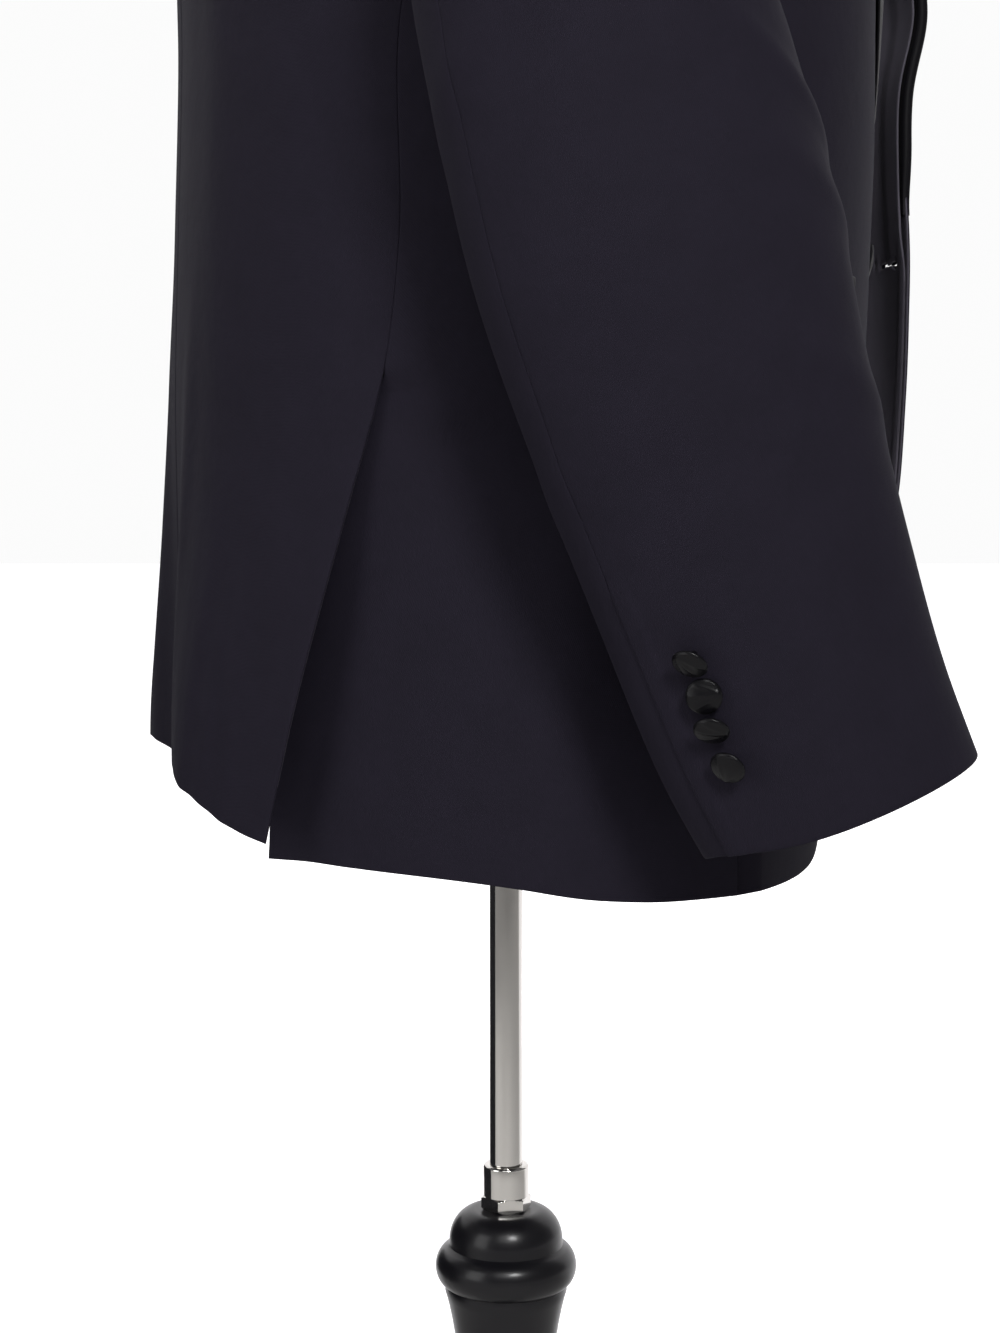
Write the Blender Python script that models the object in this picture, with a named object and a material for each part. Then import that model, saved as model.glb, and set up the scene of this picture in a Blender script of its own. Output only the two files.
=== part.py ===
"""Tuxedo jacket, hung open on a limbless dress form with a turned wooden tripod stand.

Metres, +Z up, floor at z = 0. The rod of the stand is the Z axis, the jacket's front faces -Y and the
wearer's right is -X. Every panel is a wall on one worked-out surface: angle runs round the rod from the
centre back (0) to the centre front (180 degrees) on either side, and height is measured from the floor.
"""
import bmesh
import bpy
import numpy as np

# Cloth and its seams
WOOL = 0.0020
SATIN = 0.0015
SEAM_GAP = 0.0003
ARMHOLE_GAP = 0.0006
LAY_GAP = 0.0016

# Horizontal sections of the jacket's outer face
SECTION = np.array([
    # height, half_width, back_depth, front_depth, squareness
    (0.690, 0.211, 0.180, 0.152, 2.50),
    (0.760, 0.209, 0.180, 0.159, 2.50),
    (0.860, 0.206, 0.181, 0.171, 2.50),
    (0.960, 0.203, 0.181, 0.179, 2.50),
    (1.050, 0.201, 0.177, 0.183, 2.50),
    (1.140, 0.201, 0.174, 0.186, 2.50),
    (1.200, 0.203, 0.174, 0.184, 2.45),
    (1.270, 0.205, 0.168, 0.166, 2.40),
    (1.340, 0.207, 0.148, 0.134, 2.30),
    (1.390, 0.214, 0.120, 0.099, 2.20),
    (1.418, 0.222, 0.094, 0.071, 2.10),
    (1.435, 0.180, 0.081, 0.060, 2.10),
    (1.450, 0.128, 0.073, 0.055, 2.10),
    (1.463, 0.084, 0.068, 0.057, 2.10),
    (1.480, 0.078, 0.066, 0.061, 2.10),
    (1.500, 0.076, 0.065, 0.062, 2.10),
]).T

# Hem of the back
BACK_HEM = np.array([
    # angle in degrees, height
    (0, 0.765), (20, 0.769), (28, 0.768), (32, 0.7650), (36, 0.7577), (40, 0.7508), (46, 0.7450),
]).T
# Hem of the side panel
SIDE_HEM = np.array([
    # angle in degrees, height
    (40, 0.7325), (50, 0.7355), (60, 0.7356), (70, 0.7325), (80, 0.7272), (90, 0.7212), (96, 0.7192),
    (110, 0.7185),
]).T
# Seam between back and side panel, which below the vent's top is the free edge of the back's flap
BACK_SEAM = np.array([
    # height, angle in degrees
    (0.745, 46.0), (0.823, 51.5), (0.911, 57.6), (0.981, 62.5), (1.030, 64.0), (1.140, 64.5), (1.240, 72.8),
]).T
# Rear edge of the side panel: the seam, and below the vent's top the underlap hidden by the flap
UNDERLAP = np.array([
    # height, angle in degrees
    (0.7325, 40.0), (0.800, 42.5), (0.870, 47.5), (0.930, 54.0),
]).T
# Seam between side panel and front
FRONT_SEAM = np.array([
    # height, angle in degrees
    (0.7185, 110.0), (0.900, 110.0), (1.140, 109.0), (1.215, 101.5),
]).T
# Hem of a front, from the seam and round the cutaway corner
FRONT_HEM = np.array([
    # distance from the centre, height
    (0.1890, 0.7185), (0.1700, 0.7190), (0.1560, 0.7203), (0.1430, 0.7235), (0.1300, 0.7310), (0.1150, 0.7480),
]).T
# Front edge above the cutaway, then the roll line of the lapel up to the neck
FRONT_EDGE = np.array([
    # height, distance from the centre
    (0.748, 0.1150), (0.800, 0.0840), (0.860, 0.0550), (0.930, 0.0310), (1.000, 0.0150), (1.040, 0.0110),
    (1.090, 0.0180), (1.170, 0.0330), (1.250, 0.0480), (1.350, 0.0640), (1.420, 0.0745), (1.450, 0.0790),
    (1.463, 0.0840),
]).T

VENT_TOP = 0.975
VENT_FLARE = 0.010
VENT_RECESS = 0.013
VENT_STEP = 0.0045
LOBE_ANGLE = np.radians(26.0)
LOBE_SPREAD = np.radians(13.0)
LOBE_RISE = 0.022
LOBE_TOP = 0.930
# How far the free front edges hang forward of the section: the left front swings open like a door
SWING = np.array([
    # height, left, right
    (0.740, 0.078, 0.005), (0.840, 0.076, 0.006), (0.900, 0.070, 0.006), (0.960, 0.062, 0.006),
    (1.020, 0.056, 0.006), (1.080, 0.053, 0.005), (1.130, 0.056, 0.002), (1.180, 0.067, 0.002),
    (1.250, 0.060, 0.002), (1.320, 0.028, 0.001), (1.390, 0.000, 0.000),
]).T
SWING_START, SWING_END = 1.95, 2.95

# Armhole, an egg standing on end on the jacket's side
ARMHOLE_MIDDLE = 1.3025
ARMHOLE_HALF_HEIGHT = 0.1155
ARMHOLE_BACK = 0.068
ARMHOLE_FRONT = 0.058
ARMHOLE_FULLNESS = 0.12
HIND_TURN = 1.83
BACK_JOIN = 2.142
FRONT_JOIN = 3.853
BACK_STEPS, SIDE_STEPS, FRONT_STEPS = 6, 8, 7

# Sleeve below the crown: the sections of its outer face, square to its centre line
SLEEVE = np.array([
    # height, forward_y, out_x, half_depth, half_width, fall of the section towards the back
    (1.175, 0.0255, 0.2630, 0.0760, 0.0560, 0.138),
    (1.146, 0.0210, 0.2630, 0.0775, 0.0560, 0.180),
    (1.090, 0.0060, 0.2640, 0.0820, 0.0540, 0.262),
    (1.030, -0.0105, 0.2650, 0.0845, 0.0520, 0.283),
    (0.948, -0.0345, 0.2660, 0.0792, 0.0470, 0.323),
    (0.870, -0.0615, 0.2670, 0.0732, 0.0420, 0.370),
    (0.807, -0.0855, 0.2680, 0.0692, 0.0385, 0.405),
    (0.7715, -0.1024, 0.2680, 0.0670, 0.0370, 0.385),
]).T
HIND_SEAM = np.radians(67.0)
FORE_SEAM = np.radians(245.0)
CROWN_ROWS = 5
SLEEVE_ROWS = 9

# Lapel on the front: its roll line follows the front edge, its outer edge is the shawl's curve
SHAWL = np.array([
    # height of the roll, distance of the roll, height of the outer edge, distance of the outer edge
    (1.062, 0.0135, 1.066, 0.0230),
    (1.100, 0.0198, 1.096, 0.0560),
    (1.150, 0.0290, 1.140, 0.0860),
    (1.210, 0.0405, 1.195, 0.1100),
    (1.280, 0.0530, 1.265, 0.1260),
    (1.350, 0.0640, 1.335, 0.1320),
    (1.405, 0.0720, 1.395, 0.1300),
    (1.440, 0.0770, 1.432, 0.1240),
]).T
LAPEL_ROLL = 0.003
NECK_LIFT = 0.0025
# Fall of the collar round the neck
FALL = np.array([
    # angle in degrees, height of the fold, height of the outer edge
    (90, 1.4780, 1.4500), (60, 1.4820, 1.4420), (30, 1.4860, 1.4340), (0, 1.4870, 1.4310),
]).T
NECKLINE = np.array([
    # angle in degrees, height
    (0, 1.4520), (45, 1.4550), (90, 1.4630),
]).T
FACING_COLUMNS = 4
FACING_TOP = 1.340

# Trimmings
FRONT_BUTTON_RADIUS = 0.0115
FRONT_BUTTON_HEIGHT = 1.032
FRONT_BUTTON_IN = 0.0270
CUFF_BUTTON_RADIUS = 0.0082
BUTTON_BACK = 0.88
BUTTON_LIFT = 0.0018
SHANK_RADIUS = 0.0018
# Cuff buttons from the lowest up: each hangs on its shank with its own lean off the sleeve's normal
CUFF_BUTTONS = np.array([
    # height, degrees before the hind seam, lean forward, lean up
    (0.8163, 24.8, -0.40, -0.50),
    (0.8334, 23.2, 0.00, -0.75),
    (0.8465, 25.7, 0.08, 0.05),
    (0.8621, 26.2, -0.35, -0.90),
])
FRONT_BUTTON_LEAN = np.array([-0.24, 0.0, -0.17])
JET_LENGTH = 0.145
JET_DEPTH = 0.0055
POCKET_HEIGHT = 1.020
POCKET_MIDDLE = np.radians(117.0)
POCKET_SLOPE = 0.006
WELT_LENGTH = 0.085
WELT_DEPTH = 0.023
WELT_HEIGHT = 1.232
WELT_MIDDLE = np.radians(124.0)

# Dress form: how far its skin lies inside the jacket's outer face
FORM = np.array([
    # height, inset
    (0.800, 0.060), (0.900, 0.050), (1.000, 0.040), (1.120, 0.028), (1.240, 0.016), (1.340, 0.0095),
    (1.390, 0.0070), (1.418, 0.0062), (1.450, 0.0062), (1.463, 0.0095), (1.480, 0.0150), (1.500, 0.0160),
]).T
FORM_SIDES = 28
FORM_HEIGHTS = (0.800, 0.860, 0.940, 1.020, 1.100, 1.180, 1.260, 1.320, 1.365, 1.395, 1.412, 1.424, 1.437,
                1.450, 1.463, 1.480, 1.500)
FORM_FOOT = 0.800
NECK_TOP = 1.530
CAP_HEIGHT = 0.016

# Stand
ROD_RADIUS = 0.0092
SOCKET_RADIUS = 0.0128
SOCKET_TOP = 0.530
NUT_RADIUS = 0.0143
NUT_TOP = 0.512
COLUMN_TOP = 0.504
DOME_RADIUS = 0.0320
BULGE_RADIUS = 0.0398
HUB_RADIUS = 0.0400
LEG_COUNT = 3
LEG_HALF_WIDTH = 0.0125
LEG = np.array([
    # reach from the rod, height, half_height
    (0.0405, 0.146, 0.0240), (0.0700, 0.152, 0.0215), (0.1050, 0.139, 0.0185), (0.1400, 0.105, 0.0160),
    (0.1750, 0.062, 0.0140), (0.2050, 0.029, 0.0125), (0.2300, 0.0120, 0.0120), (0.2550, 0.0110, 0.0110),
]).T

COLOURS = {
    # name: (linear red, green, blue), roughness, metallic
    "wool": ((0.018, 0.017, 0.025), 0.85, 0.0),
    "satin": ((0.020, 0.018, 0.024), 0.38, 0.0),
    "form_cloth": ((0.020, 0.020, 0.022), 0.80, 0.0),
    "black_wood": ((0.012, 0.011, 0.013), 0.25, 0.0),
    "chrome": ((0.62, 0.60, 0.57), 0.12, 1.0),
}


def clear_scene():
    for item in list(bpy.data.objects):
        bpy.data.objects.remove(item, do_unlink=True)


def material(name):
    """The named finish, made once."""
    if name in bpy.data.materials:
        return bpy.data.materials[name]
    colour, roughness, metallic = COLOURS[name]
    made = bpy.data.materials.new(name)
    made.use_nodes = True
    shader = made.node_tree.nodes["Principled BSDF"]
    shader.inputs["Base Color"].default_value = (*colour, 1.0)
    shader.inputs["Roughness"].default_value = roughness
    shader.inputs["Metallic"].default_value = metallic
    made.diffuse_color = (*colour, 1.0)
    return made


def smooth(at, knots, values):
    """Cubic through the knots with averaged slopes, held level beyond both ends."""
    at = np.clip(at, knots[0], knots[-1])
    slopes = np.gradient(values, knots)
    cell = np.clip(np.searchsorted(knots, at) - 1, 0, len(knots) - 2)
    step = knots[cell + 1] - knots[cell]
    u = (at - knots[cell]) / step
    return ((1 + 2 * u) * (1 - u) ** 2 * values[cell] + u * (1 - u) ** 2 * step * slopes[cell]
            + u * u * (3 - 2 * u) * values[cell + 1] + u * u * (u - 1) * step * slopes[cell + 1])


def smoothed_path(points, count):
    """Points at even shares of a smooth curve through the given points."""
    points = np.asarray(points, dtype=float)
    along = np.concatenate([[0.0], np.cumsum(np.linalg.norm(np.diff(points, axis=0), axis=1))])
    at = np.linspace(0.0, along[-1], count)
    return np.stack([smooth(at, along, column) for column in points.T], axis=-1)


def ease(value, start, stop):
    """0 before start, 1 after stop, and a smooth step between."""
    u = np.clip((value - start) / (stop - start), 0.0, 1.0)
    return u * u * (3 - 2 * u)


def section(height):
    """Half width, back depth, front depth and squareness of the jacket at a height."""
    return [smooth(height, SECTION[0], column) for column in SECTION[1:]]


def radius(angle, height):
    """Polar radius of the section, a superellipse with its own depth before and behind."""
    half_width, back, front, power = section(height)
    depth = np.where(np.cos(angle) > 0, back, front)
    return (np.abs(np.sin(angle) / half_width) ** power + np.abs(np.cos(angle) / depth) ** power) ** (-1 / power)


def front_angle(from_centre, height):
    """Angle of the point on the front that lies from_centre away from the middle."""
    half_width, _, front, power = section(height)
    share = np.clip(from_centre / half_width, 0.0, 1.0)
    return np.arctan2(from_centre, -front * (1 - share ** power) ** (1 / power))


def side_angle(backward, height):
    """Angle of the point on the side at y = backward."""
    half_width, back, front, power = section(height)
    share = np.clip(np.abs(backward) / np.where(backward > 0, back, front), 0.0, 1.0)
    return np.arctan2(half_width * (1 - share ** power) ** (1 / power), backward)


def drape(angle, height):
    """How far the cloth stands out from its plain section: a lobe on each side of the centre back."""
    lobe = np.exp(-((np.abs(angle) - LOBE_ANGLE) / LOBE_SPREAD) ** 2)
    return LOBE_RISE * lobe * (1 - ease(height, 0.770, LOBE_TOP))


def swing(angle, height, side):
    """How far a front hangs forward, more and more towards its free edge."""
    amount = smooth(height, SWING[0], SWING[1] if side > 0 else SWING[2])
    return amount * ease(angle, SWING_START if side > 0 else SWING_START + 0.35, SWING_END)


def body(angle, height, side):
    """Point of the jacket's outer face: side is 1 on the wearer's left and -1 on the right."""
    reach = radius(angle, height) + drape(angle, height)
    across = side * reach * np.sin(angle)
    back = reach * np.cos(angle) - swing(angle, height, side)
    return np.stack([across, back, height + 0.0 * reach], axis=-1)


def body_normal(angle, height, side):
    """Outward normal of the jacket's face, from small steps along both of its directions."""
    step = 1e-4
    along_angle = body(angle + step, height, side) - body(angle - step, height, side)
    along_height = body(angle, height + step, side) - body(angle, height - step, side)
    normal = -side * np.cross(along_angle, along_height)
    return normal / np.linalg.norm(normal, axis=-1, keepdims=True)


def on_body(angle, height, side, out=0.0):
    """Point moved out of the jacket's face along its normal."""
    out = np.asarray(out, dtype=float)[..., None] if np.ndim(out) else out
    return body(angle, height, side) + out * body_normal(angle, height, side)


def coons(left, right, bottom, top):
    """Grid of (angle, height) between four edges: rows go from bottom to top, columns left to right."""
    rows, cols = len(left), len(bottom)
    climb = (left[:, 1] + right[:, 1]) / 2
    t = ((climb - climb[0]) / (climb[-1] - climb[0]))[:, None, None]
    s = np.linspace(0.0, 1.0, cols)[None, :, None]
    sides = (1 - s) * left[:, None] + s * right[:, None]
    ends = (1 - t) * bottom[None] + t * top[None]
    corners = ((1 - t) * ((1 - s) * left[0] + s * right[0]) + t * ((1 - s) * left[rows - 1] + s * right[rows - 1]))
    return sides + ends - corners


def trimmed(points, gap, edges="LRBT"):
    """Grid with its outermost rows or columns drawn in, so that neighbours meet across a seam gap."""
    points = points.copy()
    for edge, outer, inner in (("L", (slice(None), 0), (slice(None), 1)), ("R", (slice(None), -1), (slice(None), -2)),
                               ("B", (0,), (1,)), ("T", (-1,), (-2,))):
        if edge in edges:
            step = points[inner] - points[outer]
            points[outer] += gap * step / np.linalg.norm(step, axis=-1, keepdims=True)
    return points


def add_mesh(name, vertices, faces, finish):
    """One closed object with its faces turned outwards."""
    mesh = bpy.data.meshes.new(name)
    mesh.from_pydata([tuple(map(float, point)) for point in vertices], [], faces)
    shell = bmesh.new()
    shell.from_mesh(mesh)
    bmesh.ops.recalc_face_normals(shell, faces=shell.faces)
    shell.to_mesh(mesh)
    shell.free()
    mesh.shade_smooth()
    mesh.set_sharp_from_angle(angle=np.radians(40))
    mesh.materials.append(material(finish))
    made = bpy.data.objects.new(name, mesh)
    bpy.context.scene.collection.objects.link(made)
    return made


def wall(name, outer, inner, finish):
    """Closed sheet between two grids of the same shape: two faces and a rim round the edges.

    The rim's triangles turn on the row with the lower number, so two walls that share a seam meet face to face.
    """
    rows, cols = outer.shape[:2]
    lower = rows * cols
    index = np.arange(lower).reshape(rows, cols)
    faces = []
    for r in range(rows - 1):
        for c in range(cols - 1):
            a, b, d, e = index[r, c], index[r, c + 1], index[r + 1, c + 1], index[r + 1, c]
            faces += [(a, b, d), (a, d, e)]
            faces += [(a + lower, d + lower, b + lower), (a + lower, e + lower, d + lower)]
    rim = np.concatenate([index[0, :-1], index[:-1, -1], index[-1, :0:-1], index[:0:-1, 0]])
    for a, b in zip(rim, np.roll(rim, -1)):
        if a < b:
            faces += [(a, a + lower, b + lower), (a, b + lower, b)]
        else:
            faces += [(a, a + lower, b), (b, a + lower, b + lower)]
    vertices = np.concatenate([outer.reshape(-1, 3), inner.reshape(-1, 3)])
    faces = [tuple(int(i) for i in face) for face in faces]
    return add_mesh(name, vertices, faces, finish)


def panel(name, grid, side, out=0.0, thickness=WOOL, finish="wool", trim="LRBT", gap=SEAM_GAP / 2):
    """Cloth wall on the jacket's face over a grid of (angle, height); out may vary over the grid."""
    angle, height = grid[..., 0], grid[..., 1]
    normal = body_normal(angle, height, side)
    out = np.broadcast_to(out, angle.shape)[..., None]
    face = trimmed(body(angle, height, side) + out * normal, gap, trim)
    return wall(name, face, face - thickness * normal, finish)


def hem_path(table, count):
    """(angle, height) along a hem, at even steps of its angle."""
    angle = np.linspace(table[0, 0], table[0, -1], count)
    return np.stack([np.radians(angle), smooth(angle, table[0], table[1])], axis=-1)


def back_seam(height):
    return np.radians(smooth(height, BACK_SEAM[0], BACK_SEAM[1]))


def front_seam(height):
    return np.radians(smooth(height, FRONT_SEAM[0], FRONT_SEAM[1]))


def armhole(turn):
    """(angle, height) round the armhole: turn is 0 at the shoulder and grows over the back, armpit and front."""
    height = ARMHOLE_MIDDLE + ARMHOLE_HALF_HEIGHT * np.cos(turn)
    depth = np.where(np.sin(turn) > 0, ARMHOLE_BACK, ARMHOLE_FRONT)
    backward = depth * np.sin(turn) * (1 - ARMHOLE_FULLNESS * np.cos(turn))
    return np.stack([side_angle(backward, height), height], axis=-1)


def seam_heights(low, high):
    """Rows of a seam from the hem to the armhole, with a close pair where the side vent begins."""
    below = np.linspace(low, VENT_TOP - 0.045, 5)
    at_vent = [VENT_TOP - 0.030, VENT_TOP - 0.015, VENT_TOP]
    above = np.linspace(VENT_TOP, high, 6)[1:]
    return np.concatenate([below, at_vent, above])


BACK_ARC = np.linspace(HIND_TURN, 0.0, BACK_STEPS)
SIDE_ARC = np.linspace(BACK_JOIN, FRONT_JOIN, SIDE_STEPS + 1)
FRONT_ARC = np.linspace(FRONT_JOIN, 2 * np.pi, FRONT_STEPS + 1)
FORE_TURN = FRONT_ARC[1]


def back_panels():
    """Back: centre seam, neckline, shoulder seam, armhole and side seam, with the vent's flap below."""
    seam = seam_heights(BACK_SEAM[0][0], BACK_SEAM[0][-1])
    lower = np.stack([back_seam(seam), seam], axis=-1)
    lower[-1] = armhole(BACK_JOIN)
    shoulder_heights = np.array([1.434, 1.449])
    shoulder = np.stack([np.full(2, np.pi / 2), shoulder_heights], axis=-1)
    neck_point = [[np.pi / 2, NECKLINE[1][-1]]]
    right = np.concatenate([lower, armhole(BACK_ARC), shoulder, neck_point])
    climb = (right[:, 1] - right[0, 1]) / (right[-1, 1] - right[0, 1])
    low, high = BACK_HEM[1][0], NECKLINE[1][0]
    left = np.stack([np.zeros(len(right)), low + climb * (high - low)], axis=-1)
    count = 12
    bottom = hem_path(BACK_HEM, count)
    neck = np.linspace(0.0, 90.0, count)
    top = np.stack([np.radians(neck), smooth(neck, NECKLINE[0], NECKLINE[1])], axis=-1)
    grid = coons(left, right, bottom, top)
    share = np.linspace(0.0, 1.0, count)[None, :]
    flare = VENT_FLARE * ease(share, 0.45, 1.0) * (1 - ease(grid[..., 1], 0.80, VENT_TOP - 0.010)) + 0 * share
    for side, hand in ((1, "left"), (-1, "right")):
        panel("back_" + hand, grid, side, out=flare)


def side_panels():
    """Side body: from the vent's underlap to the front seam, up to the bottom of the armhole."""
    seam = seam_heights(BACK_SEAM[0][0], BACK_SEAM[0][-1])
    left = np.stack([back_seam(seam), seam], axis=-1)
    left[-1] = armhole(BACK_JOIN)
    hidden = seam < VENT_TOP - 0.016
    left[hidden, 0] = np.radians(smooth(seam[hidden], UNDERLAP[0], UNDERLAP[1]))
    left[0] = np.radians(UNDERLAP[1][0]), UNDERLAP[0][0]
    climb = (seam - seam[0]) / (seam[-1] - seam[0])
    low, high = FRONT_SEAM[0][0], FRONT_SEAM[0][-1]
    rise = low + climb * (high - low)
    right = np.stack([front_seam(rise), rise], axis=-1)
    right[-1] = armhole(FRONT_JOIN)
    bottom = hem_path(SIDE_HEM, len(SIDE_ARC))
    grid = coons(left, right, bottom, armhole(SIDE_ARC))
    share = np.linspace(0.0, 1.0, len(SIDE_ARC))[None, :]
    recess = -VENT_RECESS * (1 - ease(share, 0.15, 0.75)) * (1 - ease(grid[..., 1], 0.78, VENT_TOP + 0.02))
    step = -VENT_STEP * (share < 0.1) * (grid[..., 1] < VENT_TOP - 0.008)
    for side, hand in ((1, "left"), (-1, "right")):
        panel("side_" + hand, grid, side, out=recess + step)


def front_rows():
    """Heights and both edges of a front's rows, from the hem to the shoulder seam."""
    seam = seam_heights(BACK_SEAM[0][0], BACK_SEAM[0][-1])
    climb = (seam - seam[0]) / (seam[-1] - seam[0])
    low, high = FRONT_SEAM[0][0], FRONT_SEAM[0][-1]
    rise = low + climb * (high - low)
    left = np.stack([front_seam(rise), rise], axis=-1)
    left[-1] = armhole(FRONT_JOIN)
    left = np.concatenate([left, armhole(FRONT_ARC[1:])])
    climb = (left[:, 1] - left[0, 1]) / (left[-1, 1] - left[0, 1])
    heights = FRONT_EDGE[0][0] + climb * (FRONT_EDGE[0][-1] - FRONT_EDGE[0][0])
    right = np.stack([front_angle(smooth(heights, FRONT_EDGE[0], FRONT_EDGE[1]), heights), heights], axis=-1)
    right[-1, 0] = np.pi / 2
    return left, right


def front_grid():
    """(angle, height) over a front, from the side seam to the free edge and the roll line."""
    left, right = front_rows()
    hem = smoothed_path(FRONT_HEM.T, 10)
    bottom = np.stack([front_angle(hem[:, 0], hem[:, 1]), hem[:, 1]], axis=-1)
    bottom[0], bottom[-1] = left[0], right[0]
    share = np.linspace(0.0, 1.0, len(bottom))[:, None]
    top = (1 - share) * left[-1] + share * right[-1]
    return coons(left, right, bottom, top)


def front_panels():
    """Fronts, each with a facing on the inside of its free edge up to the chest."""
    grid = front_grid()
    rows = int(np.sum(grid[:, -1, 1] < FACING_TOP))
    inside = grid[:rows, -FACING_COLUMNS:]
    for side, hand in ((1, "left"), (-1, "right")):
        panel("front_" + hand, grid, side)
        panel("facing_" + hand, inside, side, out=-WOOL - 0.0005, thickness=SATIN, finish="satin", gap=0.001)


def sleeve_frame(height):
    """Centre, backward direction and half sizes of the sleeve's section at a height of its centre."""
    knots = SLEEVE[0][::-1]
    centre_y, out_x, half_depth, half_width, fall = (smooth(height, knots, column[::-1]) for column in SLEEVE[1:])
    length = np.sqrt(1 + fall ** 2)
    backward = np.stack([0 * fall, 1 / length, -fall / length], axis=-1)
    return centre_y, out_x, half_depth, half_width, backward


def sleeve_section(turn, height, side):
    """Points of the sleeve's outer face round its section: turn is 0 outwards and a quarter at the back."""
    centre_y, out_x, half_depth, half_width, backward = sleeve_frame(height)
    centre = np.stack([side * out_x, centre_y, height + 0 * out_x], axis=-1)
    outward = np.array([side, 0.0, 0.0])
    return (centre + (half_width * np.cos(turn))[..., None] * outward
            + (half_depth * np.sin(turn))[..., None] * backward)


def lower_turn(armhole_turn):
    """Where a column that leaves the armhole at a turn lies round the lower sleeve."""
    top_share = (armhole_turn - FORE_TURN) / (HIND_TURN + 2 * np.pi - FORE_TURN)
    under_share = (armhole_turn - HIND_TURN - 2 * np.pi) / (FORE_TURN - HIND_TURN)
    return np.where(top_share <= 1,
                    FORE_SEAM + top_share * (HIND_SEAM + 2 * np.pi - FORE_SEAM),
                    HIND_SEAM + 2 * np.pi + under_share * (FORE_SEAM - HIND_SEAM))


def sleeve_grids(side):
    """Outer and inner face of a whole sleeve, as rows from the armhole to the cuff and columns round it.

    The columns start at the fore seam and run over the top sleeve, the hind seam and the under sleeve. Each
    leaves the armhole outwards and bends down to the first section along a Bezier curve.
    """
    front = FRONT_ARC[FRONT_ARC > FORE_TURN - 0.01]
    turns = np.concatenate([front, 2 * np.pi + BACK_ARC[::-1][1:], 2 * np.pi + SIDE_ARC])
    ring = armhole(turns)
    start = on_body(ring[:, 0], ring[:, 1], side, ARMHOLE_GAP)
    normal = body_normal(ring[:, 0], ring[:, 1], side)
    away = start - start.mean(axis=0)
    away -= (away * normal).sum(-1, keepdims=True) * normal
    away /= np.linalg.norm(away, axis=-1, keepdims=True)
    outer_start = start + WOOL * away
    below = lower_turn(turns)
    end = sleeve_section(below, np.full(len(turns), SLEEVE[0][0]), side)
    fullness = ((1 + np.cos(turns)) / 2)[:, None]
    leave = outer_start + (0.006 + 0.045 * fullness) * np.array([side, 0.0, 0.12])
    arrive = end + (0.006 + 0.135 * fullness) * np.array([0.0, 0.08, 1.0])
    u = np.linspace(0.0, 1.0, CROWN_ROWS + 1)[:, None, None]
    crown = ((1 - u) ** 3 * outer_start + 3 * u * (1 - u) ** 2 * leave + 3 * u * u * (1 - u) * arrive + u ** 3 * end)
    heights = np.linspace(SLEEVE[0][0], SLEEVE[0][-1], SLEEVE_ROWS + 1)[1:]
    lower = sleeve_section(below[None, :] + 0 * heights[:, None], heights[:, None] + 0 * below, side)
    outer = np.concatenate([crown, lower])
    down = np.gradient(outer, axis=0)
    across = np.roll(outer, -1, axis=1) - np.roll(outer, 1, axis=1)
    outward = side * np.cross(down, across)
    outward /= np.linalg.norm(outward, axis=-1, keepdims=True)
    inner = outer - WOOL * outward
    inner[0] = start
    return outer, inner, len(front) + len(BACK_ARC) - 1


def sleeves():
    """Top and under sleeve of each arm, parted at the hind and the fore seam."""
    for side, hand in ((1, "left"), (-1, "right")):
        outer, inner, hind = sleeve_grids(side)
        count = outer.shape[1]
        for name, columns in (("top_sleeve_", range(0, hind)), ("under_sleeve_", range(hind - 1, count + 1))):
            keep = [column % count for column in columns]
            wall(name + hand, trimmed(outer[:, keep], SEAM_GAP / 2, "LR"), trimmed(inner[:, keep], SEAM_GAP / 2, "LR"),
                 "wool")


def shawl_grid():
    """(angle, height) of the lapel and the collar's fall, from the break point to the centre back."""
    roll = np.stack([front_angle(SHAWL[1], SHAWL[0]), SHAWL[0]], axis=-1)
    edge = np.stack([front_angle(SHAWL[3], SHAWL[2]), SHAWL[2]], axis=-1)
    roll = np.concatenate([roll, np.stack([np.radians(FALL[0]), FALL[1]], axis=-1)])
    edge = np.concatenate([edge, np.stack([np.radians(FALL[0]), FALL[2]], axis=-1)])
    rows = np.linspace(0, len(roll) - 1, 2 * len(roll) - 1)
    knots = np.arange(len(roll), dtype=float)
    roll = np.stack([smooth(rows, knots, column) for column in roll.T], axis=-1)
    edge = np.stack([smooth(rows, knots, column) for column in edge.T], axis=-1)
    share = np.linspace(0.0, 1.0, 6)[None, :, None]
    return (1 - share) * roll[:, None] + share * edge[:, None]


def lapels():
    """Satin shawl collar, a wall laid on the fronts and folded over the neck."""
    grid = shawl_grid()
    share = np.linspace(0.0, 1.0, 6)[None, :]
    out = LAY_GAP + SATIN + LAPEL_ROLL * np.sin(np.pi * share) + NECK_LIFT * ease(grid[..., 1], 1.400, 1.450)
    for side, hand in ((1, "left"), (-1, "right")):
        panel("lapel_" + hand, grid, side, out=out, thickness=SATIN, finish="satin", trim="T")


def collar_stand():
    """Band between the neckline and the collar's fold, round the back of the neck."""
    angle = np.linspace(-90.0, 90.0, 17)
    low = smooth(np.abs(angle), NECKLINE[0], NECKLINE[1])
    high = smooth(np.abs(angle), FALL[0][::-1], FALL[1][::-1]) - 0.002
    share = np.linspace(0.0, 1.0, 3)[:, None]
    heights = (1 - share) * (low + SEAM_GAP) + share * high
    grid = np.stack([np.radians(angle) + 0 * heights, heights], axis=-1)
    panel("collar_stand", grid, 1, out=-0.0005, trim="")


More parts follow.
